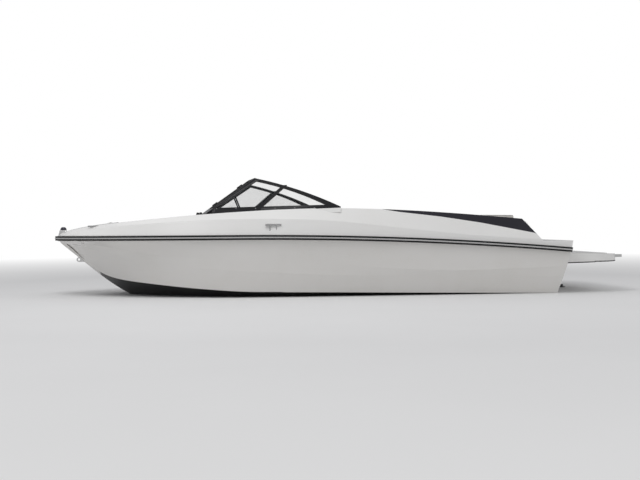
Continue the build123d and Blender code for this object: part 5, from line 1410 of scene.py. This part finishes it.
@dataclass
class FrameSills(Assembly):
    """The windshield frames, black above the deck's line and white where their skirt is sealed below it."""

    line: Point = (0.40, 0.0, 0.908)
    across: Point = (0.0333, 0.0, 1.0)
    skirt_end: float = 0.75
    doubles: float = 1e-6
    crisp: float = 30.0

    def build(self) -> None:
        """Adds each frame, cut along the line, in place of its node."""
        plain = self.finishes.of(DECK_PLAIN)
        line, across = Vector(self.line), Vector(self.across).normalized()
        for side in ("port", "starboard"):
            node = "windshield_frame_" + side
            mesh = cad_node(node).data.copy()
            piece = bpy.data.objects.new("frame_with_sill_" + side, mesh)
            bpy.context.scene.collection.objects.link(piece)
            cut = bmesh.new()
            cut.from_mesh(mesh)
            bmesh.ops.remove_doubles(cut, verts=cut.verts, dist=self.doubles)
            bmesh.ops.bisect_plane(cut, geom=cut.verts[:] + cut.edges[:] + cut.faces[:], plane_co=line,
                                   plane_no=across)
            cut.to_mesh(mesh)
            cut.free()
            dress(piece, self.finishes.of(FRAME_BLACK), plain)
            for face in mesh.polygons:
                if face.center.x < self.skirt_end and (face.center - line).dot(across) < 0.0:
                    face.material_index = 1
            only(piece)
            bpy.ops.object.shade_smooth_by_angle(angle=math.radians(self.crisp))
            settle(piece, "boat")
            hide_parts(node)


@dataclass
class WindshieldTrim(Assembly):
    """Rubber beads round the front panes, post latches, rod feet and the gate's deck bumpers."""

    # Corners of the port front pane, from the post's foot outward and back over the top
    post_foot: Point = (1.505, 0.258, 0.897)
    pane_foot: Point = (1.447, 0.790, 0.900)
    pane_corner: Point = (0.989, 0.746, 1.229)
    post_top: Point = (1.040, 0.258, 1.227)
    bead_radius: float = 0.0045
    bead_inset: float = 0.026
    bead_lift: float = 0.0035
    tooth_size: Point = (0.016, 0.014, 0.036)
    tooth_shares: tuple[float, ...] = (0.68, 0.74, 0.80, 0.86)
    tooth_out: float = 0.012
    tooth_back: float = 0.010
    rod_places: tuple[Point, ...] = ((1.2065, 0.2705, 1.094), (1.134, 0.285, 0.905))
    rod_way: Point = (0.090, -0.018, 0.232)
    rod_foot: Profile = ((0.0085, -0.016), (0.012, -0.012), (0.0125, 0.004), (0.010, 0.012), (0.0085, 0.014))
    bumper_x: tuple[float, float] = (1.568, 1.600)
    bumper_y: float = 0.34
    bumper_above: float = 1.3
    deck_least: float = 0.8
    bumper: Profile = ((0.0, 0.024), (0.010, 0.023), (0.015, 0.016), (0.014, 0.008), (0.018, 0.003),
                       (0.019, -0.003))

    def beads(self, ring: list[Vector]) -> list[bpy.types.Object]:
        """A bead on each face of a pane, drawn in from its frame.

        Args:
            ring: The pane's corners in order.

        Returns:
            Both beads.
        """
        normal = (ring[1] - ring[0]).cross(ring[-1] - ring[0]).normalized()
        inner = []
        for at, here in enumerate(ring):
            one = (ring[at - 1] - here).normalized()
            two = (ring[(at + 1) % len(ring)] - here).normalized()
            reach = self.bead_inset / max(0.2, math.sin(one.angle(two) / 2))
            inner.append(here + (one + two).normalized() * reach)
        made = []
        for face in (-1.0, 1.0):
            line = [tuple(corner + normal * face * self.bead_lift) for corner in inner]
            bead = Shape.tube("bead", line, self.bead_radius, closed=True, round_=False, sides=1)
            made.append(self.clad(bead, HOSE_BLACK))
        return made

    def latch(self, foot: Vector, along: Vector, side: float) -> list[bpy.types.Object]:
        """The latch's teeth on a post.

        Args:
            foot: The post's foot.
            along: From the foot to the post's top.
            side: 1 for port, -1 for starboard.

        Returns:
            The teeth.
        """
        down = Vector((-along.z, 0.0, along.x)).normalized()
        teeth = []
        for share in self.tooth_shares:
            place = foot + along * share + Vector((0.0, side * self.tooth_out, 0.0)) - down * self.tooth_back
            frame = aimed(tuple(place), tuple(down))
            teeth.append(self.box("latch_tooth", self.tooth_size, frame, FRAME_BLACK, 0.003))
        return teeth

    def build(self) -> None:
        """Adds the beads, latches, rod feet and bumpers of both sides."""
        parts: list[bpy.types.Object] = []
        for side in (-1.0, 1.0):
            ring = [Vector((x, side * y, z)) for x, y, z in (
                self.post_foot, self.pane_foot, self.pane_corner, self.post_top)]
            parts += self.beads(ring)
            parts += self.latch(ring[0], ring[-1] - ring[0], side)
            way = Vector(self.rod_way).normalized()
            for x, y, z in self.rod_places:
                parts.append(self.lathe("rod_foot", self.rod_foot, aimed(
                    (x, side * y, z), (way.x, side * way.y, way.z)), 20, FRAME_BLACK))
            for x in self.bumper_x:
                place, facing = touch("deck", (x, side * self.bumper_y, self.bumper_above), DOWN)
                if place.z > self.deck_least:
                    frame = aimed(tuple(place), tuple(facing))
                    parts.append(self.lathe("bumper", self.bumper, frame, 20, HOSE_BLACK))
        settle(Shape.join("windshield_trim", parts), "boat")


@dataclass(frozen=True)
class Casting:
    """An eased casting: size, place of its foot from the engine's middle, edge, rim and sunk panel."""

    name: str
    size: Point
    place: Point
    bevel: float
    rim: float = 0.0
    sink: float = 0.0


@dataclass(frozen=True)
class Pulley:
    """A pulley on the engine's front: its axle from the centreline, and its radius."""

    y: float
    z: float
    radius: float


@dataclass
class Engine(Assembly):
    """The engine in its block's space: castings, covers, arrestor, manifolds, pulleys and hoses."""

    mid: float = -1.68
    crankcase: Casting = Casting("crankcase", (0.54, 0.24, 0.24), (0, 0, -0.02), 0.012, 0.03, 0.012)
    sump: Casting = Casting("sump", (0.46, 0.18, 0.10), (0, 0, -0.10), 0.02)
    plenum: Casting = Casting("plenum", (0.34, 0.15, 0.09), (0, 0, 0.27), 0.016, 0.016, 0.006)
    arrestor_place: Point = (0.02, 0, 0.362)
    arrestor: Profile = (
        (0.0, 0.088), (0.012, 0.088), (0.014, 0.078), (0.078, 0.074), (0.084, 0.068), (0.080, 0.060),
        (0.084, 0.052), (0.080, 0.044), (0.084, 0.036), (0.080, 0.028), (0.084, 0.020), (0.070, 0.012),
        (0.040, 0.0))
    bell_place: Point = (-1.925, 0, 0.07)
    bell: Profile = ((0.0, 0.10), (0.10, 0.10), (0.13, 0.06), (0.165, 0.012), (0.165, 0.0), (0.14, -0.02))
    head_size: Point = (0.46, 0.11, 0.05)
    head_place: tuple[float, float] = (0.085, 0.215)
    head_lean: float = 0.55
    cover_size: Point = (0.42, 0.095, 0.05)
    ribs: int = 5
    rib_size: Point = (0.008, 0.066, 0.008)
    rib_first: float = -0.14
    rib_pitch: float = 0.07
    rib_lift: float = 0.044
    manifold_size: Point = (0.46, 0.075, 0.085)
    manifold_shift: float = 0.01
    manifold_z: float = 0.12
    exhaust_y: float = 0.205
    riser_bend: Profile = ((-0.16, 0.20), (-0.18, 0.27), (-0.25, 0.29), (-0.30, 0.24), (-0.31, 0.14))
    riser_radius: float = 0.040
    hose_run: tuple[Point, ...] = ((-0.31, 0.205, 0.15), (-0.312, 0.204, 0.05), (-0.30, 0.18, -0.04))
    hose_radius: float = 0.046
    clamp_shift: float = -0.309
    clamp_z: float = 0.125
    clamp: Profile = ((0.0468, -0.007), (0.0485, -0.006), (0.0485, 0.006), (0.0468, 0.007))
    leads: int = 4
    lead_radius: float = 0.0045
    pulleys: tuple[Pulley, ...] = (
        Pulley(0.0, 0.03, 0.085), Pulley(0.0, 0.20, 0.062), Pulley(0.135, 0.235, 0.038),
        Pulley(-0.13, 0.20, 0.048))
    pulley: Profile = (
        (0.0, 0.030), (0.25, 0.032), (0.3, 0.022), (0.8, 0.018), (1.0, 0.028), (0.92, 0.020), (1.0, 0.012),
        (0.92, 0.004), (1.0, -0.004), (0.6, -0.03))
    pulley_x: float = -1.372
    belt_x: float = -1.356
    belt_radius: float = 0.006
    belt: Profile = (
        (-0.086, 0.03), (-0.06, -0.03), (0.0, -0.055), (0.06, -0.03), (0.088, 0.03), (0.15, 0.16),
        (0.173, 0.235), (0.135, 0.273), (0.05, 0.262), (-0.02, 0.262), (-0.12, 0.25), (-0.175, 0.22),
        (-0.165, 0.16))
    # The alternator and the sea water pump: y, z, radius and length of each
    drums: tuple[tuple[float, float, float, float], ...] = (
        (0.135, 0.235, 0.055, 0.12), (-0.13, 0.20, 0.050, 0.11))
    drum_x: float = -1.395
    filter_place: Point = (0.16, 0.12, 0.03)
    filter_way: Point = (0.0, 1.0, -0.3)
    oil_filter: Profile = ((0.0, 0.10), (0.03, 0.10), (0.038, 0.09), (0.038, 0.01), (0.034, 0.0))
    water_hose: float = 0.012
    water_runs: tuple[tuple[Point, ...], ...] = (
        ((0.26, 0.06, 0.24), (0.28, 0.10, 0.30), (0.20, 0.14, 0.33), (0.06, 0.16, 0.26)),
        ((0.25, -0.05, 0.22), (0.29, -0.10, 0.27), (0.24, -0.18, 0.26), (0.16, -0.205, 0.20)),
        ((-0.10, 0.02, 0.36), (-0.18, 0.02, 0.38), (-0.26, -0.03, 0.32), (-0.28, -0.05, 0.18)))

    def spot(self, place: Point) -> Point:
        """A place given from the engine's middle."""
        return (self.mid + place[0], place[1], place[2])

    def cast(self, casting: Casting, finish: Finish) -> bpy.types.Object:
        """One casting on the centreline."""
        return self.box(casting.name, casting.size, aimed(self.spot(casting.place), UP), finish,
                        casting.bevel, casting.rim, casting.sink)

    def hose(self, name: str, run: Sequence[Point], radius: float, sides: int,
             finish: Finish) -> bpy.types.Object:
        """A hose or pipe along a run given from the engine's middle.

        Args:
            name: The piece's name.
            run: Its points.
            radius: Its radius.
            sides: How finely its round is drawn.
            finish: Its finish.

        Returns:
            The piece.
        """
        return self.clad(Shape.tube(name, [self.spot(point) for point in run], radius, sides=sides), finish)

    def core(self) -> list[bpy.types.Object]:
        """Crankcase, sump, plenum, arrestor and bell housing.

        Returns:
            Its parts.
        """
        return [
            self.cast(self.crankcase, ENGINE_GREY),
            self.cast(self.sump, ENGINE_GREY),
            self.cast(self.plenum, COVER_GREY),
            self.lathe("arrestor", self.arrestor, aimed(self.spot(self.arrestor_place), UP), 40, CAST_ALLOY),
            self.lathe("bell_housing", self.bell, aimed(self.bell_place, ASTERN), 40, ENGINE_GREY),
        ]

    def bank(self, side: float) -> list[bpy.types.Object]:
        """One bank: head, cover with ribs, manifold, riser, exhaust hose, clamp and plug leads.

        Args:
            side: 1 for port, -1 for starboard.

        Returns:
            Its parts.
        """
        head_y, head_z = self.head_place
        out = side * self.exhaust_y
        lean = aimed(self.spot((0, side * head_y, head_z)), (0.0, side * self.head_lean, 1.0))
        cover = lean @ Matrix.Translation((0.0, 0.0, self.head_size[2]))
        parts = [
            self.box("head", self.head_size, lean, ENGINE_GREY, 0.01),
            self.box("valve_cover", self.cover_size, cover, COVER_GREY, 0.014, 0.012, 0.004),
        ]
        for rib in range(self.ribs):
            at = cover @ Matrix.Translation((self.rib_first + self.rib_pitch * rib, 0.0, self.rib_lift))
            parts.append(self.box("rib", self.rib_size, at, COVER_GREY, 0.002))
        manifold = aimed(self.spot((self.manifold_shift, out, self.manifold_z)), UP)
        bend = [(x, out, z) for x, z in self.riser_bend]
        fall = [(x, side * y, z) for x, y, z in self.hose_run]
        clamp = aimed(self.spot((self.clamp_shift, out, self.clamp_z)), UP)
        parts += [
            self.box("manifold", self.manifold_size, manifold, ENGINE_GREY, 0.018, 0.014, 0.005),
            self.hose("riser", bend, self.riser_radius, 5, ENGINE_GREY),
            self.hose("exhaust_hose", fall, self.hose_radius, 5, HOSE_BLACK),
            self.lathe("clamp", self.clamp, clamp, 32, STAINLESS),
        ]
        for lead in range(self.leads):
            plug = -0.12 + 0.08 * lead
            run = [(0.21, side * 0.05, 0.30), (plug + 0.05, side * 0.10, 0.315 - 0.004 * lead),
                   (plug, side * 0.17, 0.25), (plug, side * 0.155, 0.20)]
            parts.append(self.hose("plug_lead", run, self.lead_radius, 1, HOSE_BLACK))
        return parts

    def front(self) -> list[bpy.types.Object]:
        """Pulleys, belt, alternator, pump and oil filter.

        Returns:
            Its parts.
        """
        parts = []
        for one in self.pulleys:
            place = aimed((self.pulley_x, one.y, one.z), AHEAD)
            parts.append(self.lathe("pulley", scaled(self.pulley, one.radius), place, 36, CAST_ALLOY))
        belt = [(self.belt_x, y, z) for y, z in self.belt]
        parts.append(self.clad(Shape.tube("belt", belt, self.belt_radius, closed=True, sides=1), HOSE_BLACK))
        for y, z, radius, long in self.drums:
            drum = [(0.0, 0.0), (radius * 0.5, 0.0), (radius, 0.015), (radius, 0.04), (radius * 0.95, 0.045),
                    (radius, 0.05), (radius, long - 0.015), (radius * 0.6, long), (0.0, long)]
            parts.append(self.lathe("alternator", drum, aimed((self.drum_x, y, z), ASTERN), 32, CAST_ALLOY))
        place = aimed(self.spot(self.filter_place), self.filter_way)
        parts.append(self.lathe("oil_filter", self.oil_filter, place, 28, MARK_WHITE))
        return parts

    def build(self) -> None:
        """Adds the engine in place of its block."""
        parts = self.core() + self.bank(-1.0) + self.bank(1.0) + self.front()
        parts += [self.hose("hose", run, self.water_hose, 3, HOSE_BLACK) for run in self.water_runs]
        piece = settle(Shape.join("engine_detail", parts), "boat")
        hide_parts("engine")


@dataclass(frozen=True)
class Seam:
    """A sewn line: where a plane with this normal meets the pad's shown side."""

    place: Point
    across: Point
    width: float = 0.009
    depth: float = 0.006

    @classmethod
    def at_x(cls, x: float) -> "Seam":
        """A seam from side to side at station x."""
        return cls((x, 0.0, 0.0), AHEAD)

    @classmethod
    def at_y(cls, y: float) -> "Seam":
        """A seam fore and aft at breadth y."""
        return cls((0.0, y, 0.0), (0.0, 1.0, 0.0))

    @classmethod
    def at_z(cls, z: float) -> "Seam":
        """A level seam at height z."""
        return cls((0.0, 0.0, z), UP)


def inside(low: Point, high: Point) -> Callable[[Vector], bool]:
    """A rule that holds for points inside a box."""
    return lambda point: all(least < here < most for least, here, most in zip(low, point, high))


@dataclass
class Pad:
    """A stuffed vinyl pad swelled from its solid, with seams, a welt and an accent colour."""

    name: str
    node: str
    body: str
    finishes: Finishes
    part: int = 0
    seams: tuple[Seam, ...] = ()
    rest: Point = DOWN
    voxel: float = 0.012
    cap: float = 0.010
    shrink: float = 0.005
    fill: float = 0.7
    welt_drop: float = 0.012
    welt_radius: float = 0.0035
    accent: Optional[Callable[[Vector], bool]] = None
    base: Finish = VINYL_LIGHT
    trim: Finish = VINYL_GREY
    # How the cover behaves while it swells
    frames: int = 20
    pressure: float = 4.0
    mass: float = 0.25
    stretch: float = 12.0
    shear: float = 4.0
    bend: float = 0.4

    def own_part(self, shell: bmesh.types.BMesh) -> set[int]:
        """The vertices of this pad's own solid, in a node that holds more than one.

        Args:
            shell: The node's mesh.

        Returns:
            The vertices' indices.
        """
        groups: list[set[int]] = []
        left = set(range(len(shell.verts)))
        while left:
            found, edge = set(), [left.pop()]
            while edge:
                here = edge.pop()
                found.add(here)
                for link in shell.verts[here].link_edges:
                    there = link.other_vert(shell.verts[here]).index
                    if there in left:
                        left.discard(there)
                        edge.append(there)
            groups.append(found)

        def rank(one: set[int]) -> float:
            """Puts starboard before port, and low before high."""
            return sum(shell.verts[i].co.z + 10 * shell.verts[i].co.y for i in one) / len(one)

        groups.sort(key=rank)
        return groups[self.part] if len(groups) > 1 else groups[0]

    def solid(self) -> bpy.types.Object:
        """A copy of this pad's own solid, its corners joined and drawn in a little.

        Returns:
            The piece.
        """
        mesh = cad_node(self.node).data.copy()
        shell = bmesh.new()
        shell.from_mesh(mesh)
        bmesh.ops.remove_doubles(shell, verts=shell.verts, dist=1e-5)
        shell.verts.ensure_lookup_table()
        keep = self.own_part(shell)
        bmesh.ops.delete(shell, geom=[v for v in shell.verts if v.index not in keep], context="VERTS")
        shell.to_mesh(mesh)
        shell.free()
        piece = bpy.data.objects.new(self.name, mesh)
        bpy.context.scene.collection.objects.link(piece)
        only(piece)
        mesh.remesh_voxel_size = self.voxel
        bpy.ops.object.voxel_remesh()
        bpy.ops.object.shade_smooth()
        drawn = piece.modifiers.new("drawn_in", "DISPLACE")
        drawn.strength = -self.shrink
        drawn.mid_level = 0.0
        bpy.ops.object.modifier_apply(modifier=drawn.name)
        eased = piece.modifiers.new("eased", "SMOOTH")
        eased.iterations = 4
        bpy.ops.object.modifier_apply(modifier=eased.name)
        return piece

    def held(self, piece: bpy.types.Object) -> None:
        """Pins what rests on something and what is sewn down.

        Args:
            piece: The pad.
        """
        down = Vector(self.rest)
        pinned = [v.index for v in piece.data.vertices
                  if v.normal.dot(down) > 0.75 or any(
                      abs((v.co - Vector(seam.place)).dot(Vector(seam.across))) < 0.6 * self.voxel
                      for seam in self.seams)]
        held = piece.vertex_groups.new(name="held")
        held.add(pinned, 1.0, "REPLACE")

    def swell(self, piece: bpy.types.Object) -> None:
        """Swells the pad by pressure and limits how far a point may move.

        Args:
            piece: The pad.
        """
        self.held(piece)
        before = [v.co.copy() for v in piece.data.vertices]
        cloth = piece.modifiers.new("cloth", "CLOTH")
        cloth.settings.quality = 4
        cloth.settings.mass = self.mass
        cloth.settings.tension_stiffness = self.stretch
        cloth.settings.compression_stiffness = self.stretch
        cloth.settings.shear_stiffness = self.shear
        cloth.settings.bending_stiffness = self.bend
        cloth.settings.use_pressure = True
        cloth.settings.uniform_pressure_force = self.pressure
        cloth.settings.effector_weights.gravity = 0.0
        cloth.settings.vertex_group_mass = "held"
        cloth.point_cache.frame_start = 1
        cloth.point_cache.frame_end = self.frames
        for step in range(1, self.frames + 1):
            bpy.context.scene.frame_set(step)
        swelled = piece.evaluated_get(bpy.context.evaluated_depsgraph_get()).data
        after = [v.co.copy() for v in swelled.vertices]
        piece.modifiers.remove(cloth)
        for vertex, old, new in zip(piece.data.vertices, before, after):
            move = new - old
            if move.length > self.cap:
                move *= self.cap / move.length
            vertex.co = old + move
        bpy.context.scene.frame_set(1)

    def sew(self, piece: bpy.types.Object) -> None:
        """Presses each seam in as a narrow valley.

        Args:
            piece: The pad.
        """
        down = Vector(self.rest)
        normals = [v.normal.copy() for v in piece.data.vertices]
        lines = [(Vector(seam.place), Vector(seam.across), seam) for seam in self.seams]
        for vertex, normal in zip(piece.data.vertices, normals):
            if normal.dot(down) > 0.5:
                continue
            for place, across, seam in lines:
                away = abs((vertex.co - place).dot(across))
                if away < seam.width:
                    vertex.co -= normal * seam.depth * (1.0 - away / seam.width) ** 2

    def welt_line(self, piece: bpy.types.Object) -> bpy.types.Object:
        """The line round the pad's shown edge.

        Args:
            piece: The pad.

        Returns:
            A piece of edges alone, at the welt's height.
        """
        down = Vector(self.rest)
        reach = min(v.co.dot(down) for v in piece.data.vertices)
        ring = bmesh.new()
        ring.from_mesh(piece.data)
        cut = bmesh.ops.bisect_plane(
            ring, geom=ring.verts[:] + ring.edges[:] + ring.faces[:],
            plane_co=down * (reach + self.welt_drop), plane_no=down)
        edges = [e for e in cut["geom_cut"] if isinstance(e, bmesh.types.BMEdge)]
        points = {v: v.co.copy() for e in edges for v in e.verts}
        index = {v: i for i, v in enumerate(points)}
        line = bpy.data.meshes.new("welt")
        line.from_pydata(list(points.values()), [(index[e.verts[0]], index[e.verts[1]]) for e in edges], [])
        ring.free()
        cord = bpy.data.objects.new("welt", line)
        bpy.context.scene.collection.objects.link(cord)
        return cord

    def welt(self, piece: bpy.types.Object) -> None:
        """Runs a welt round the pad's shown edge and joins it on.

        Args:
            piece: The pad.
        """
        cord = self.welt_line(piece)
        only(cord)
        bpy.ops.object.convert(target="CURVE")
        cord.data.bevel_depth = self.welt_radius
        cord.data.bevel_resolution = 1
        bpy.ops.object.convert(target="MESH")
        bpy.ops.object.shade_smooth()
        slot = len(piece.data.materials)
        dress(cord, *piece.data.materials, self.finishes.of(self.trim))
        for face in cord.data.polygons:
            face.material_index = slot
        piece.data.materials.append(self.finishes.of(self.trim))
        bpy.ops.object.select_all(action="DESELECT")
        cord.select_set(True)
        piece.select_set(True)
        bpy.context.view_layer.objects.active = piece
        bpy.ops.object.join()

    def build(self) -> bpy.types.Object:
        """Makes the pad and puts it in place of its node.

        Returns:
            The pad.
        """
        piece = self.solid()
        self.swell(piece)
        only(piece)
        finer = piece.modifiers.new("finer", "SUBSURF")
        finer.levels = finer.render_levels = 1
        bpy.ops.object.modifier_apply(modifier=finer.name)
        self.sew(piece)
        piece.vertex_groups.clear()
        dress(piece, self.finishes.of(self.base), self.finishes.of(self.trim))
        if self.accent is not None:
            for face in piece.data.polygons:
                face.material_index = int(self.accent(face.center))
        self.welt(piece)
        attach(piece, self.body)
        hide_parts(self.node)
        return piece


@dataclass
class Upholstery:
    """Every cushion of the boat, with the lines of its seams and of its grey panel."""

    finishes: Finishes
    seat_x: float = 0.24
    seat_y: float = 0.45
    seat_panel_half: float = 0.13
    seat_panel_x: tuple[float, float] = (-0.09, 0.15)
    seat_top: float = 0.47
    back_panel_z: tuple[float, float] = (0.60, 0.78)
    back_face: float = -0.155
    bench_panel_half: float = 0.26
    bench_front: float = -0.80
    bench_top: float = 0.45
    bench_line: float = 0.66
    bench_back_face: float = -1.17
    bench_voxel: float = 0.014
    sun_x: tuple[float, float] = (-1.69, -1.39)
    sun_y: tuple[float, float] = (0.12, 0.66)
    sun_top: float = 0.81
    bow_seam_x: float = 2.02
    bow_seam_y: float = 0.62
    bow_panel_y: tuple[float, float] = (0.34, 0.54)
    bow_line: float = 0.70
    bow_back_face: float = 1.65
    fine_voxel: float = 0.013

    def seat(self, side: int, who: str) -> None:
        """The seat and back cushions of one bucket seat.

        Args:
            side: 1 for port, -1 for starboard.
            who: Whose seat it is.
        """
        body = who + "_seat"
        node = body + "_cushions"
        left, right = side * self.seat_y - self.seat_panel_half, side * self.seat_y + self.seat_panel_half
        after, fore = (self.seat_x + shift for shift in self.seat_panel_x)
        low, high = self.back_panel_z
        sides = (Seam.at_y(left), Seam.at_y(right))
        Pad(body + "_cushion", node, body, self.finishes, part=0,
            seams=sides + (Seam.at_x(fore), Seam.at_x(after)),
            accent=inside((after, left, self.seat_top), (fore, right, math.inf))).build()
        Pad(body + "_back", node, body, self.finishes, part=1, rest=(-0.99, 0.0, 0.1), welt_drop=0.030,
            seams=sides + (Seam.at_z(low), Seam.at_z(high)),
            accent=inside((self.seat_x + self.back_face, left, low), (math.inf, right, high))).build()

    def bench(self) -> None:
        """The after bench's cushion and backrest."""
        half = self.bench_panel_half
        thirds = (Seam.at_y(-half), Seam.at_y(half))
        Pad("bench_cushion_pad", "bench_cushion", "boat", self.finishes, voxel=self.bench_voxel,
            seams=thirds + (Seam.at_x(self.bench_front),),
            accent=inside((-math.inf, -half, self.bench_top), (self.bench_front, half, math.inf))).build()
        Pad("bench_backrest_pad", "bench_backrest", "boat", self.finishes, rest=ASTERN,
            voxel=self.bench_voxel, welt_drop=0.045, seams=thirds + (Seam.at_z(self.bench_line),),
            accent=inside((self.bench_back_face, -half, -math.inf),
                          (math.inf, half, self.bench_line))).build()

    def sun_pads(self) -> None:
        """The sun pads on the engine hatch."""
        after, fore = self.sun_x
        for part, side, name in ((0, -1, "starboard"), (1, 1, "port")):
            inner, outer = (side * y for y in self.sun_y)
            Pad("sunpad_" + name, "sunpad", "engine_hatch", self.finishes, part=part, voxel=self.fine_voxel,
                seams=(Seam.at_x(fore), Seam.at_x(after), Seam.at_y(inner), Seam.at_y(outer)),
                accent=inside((after, min(inner, outer), self.sun_top),
                              (fore, max(inner, outer), math.inf))).build()

    def bow(self) -> None:
        """The bow cushions and their backrests."""
        for side, name in ((1, "port"), (-1, "starboard")):
            inner, outer = (side * y for y in self.bow_panel_y)
            Pad("bow_pad_" + name, "bow_cushion_" + name, "boat", self.finishes, voxel=self.fine_voxel,
                seams=(Seam.at_x(self.bow_seam_x), Seam.at_y(side * self.bow_seam_y))).build()
            Pad("bow_back_" + name, "bow_backrest_" + name, "boat", self.finishes, rest=ASTERN,
                welt_drop=0.040, seams=(Seam.at_z(self.bow_line), Seam.at_y(inner), Seam.at_y(outer)),
                accent=inside((self.bow_back_face, min(inner, outer), -math.inf),
                              (math.inf, max(inner, outer), self.bow_line))).build()

    def build(self) -> None:
        """Makes every cushion."""
        self.seat(-1, "helm")
        self.seat(1, "passenger")
        self.bench()
        self.sun_pads()
        self.bow()


def main() -> None:
    """Builds the boat's looks and reports each piece."""
    logging.basicConfig(level=logging.INFO)
    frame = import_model()
    finishes = Finishes()
    Studio().build()
    for name, finish in NODE_FINISH.items():
        if name in frame["nodes"]:
            dress(frame["nodes"][name], finishes.of(finish))
    glass = glass_material("windshield_tint", (0.06, 0.07, 0.072), 0.9)
    for name in ("windshield_glass_port", "windshield_glass_starboard", "gate_glass"):
        dress(frame["nodes"][name], glass)
    Mouldings(finishes).build()
    # The screws find their places on the frames' nodes, so they come before the frames' sills
    for assembly in (TwoTone, Helm, BowLight, Speakers, HullFittings, Fasteners, FrameSills, WindshieldTrim,
                     Engine):
        assembly(finishes).build()
    Upholstery(finishes).build()
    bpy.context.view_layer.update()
    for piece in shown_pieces():
        log.info("%s has %d faces", piece.name, len(getattr(piece.data, "polygons", ())))


if __name__ == "__main__":
    main()
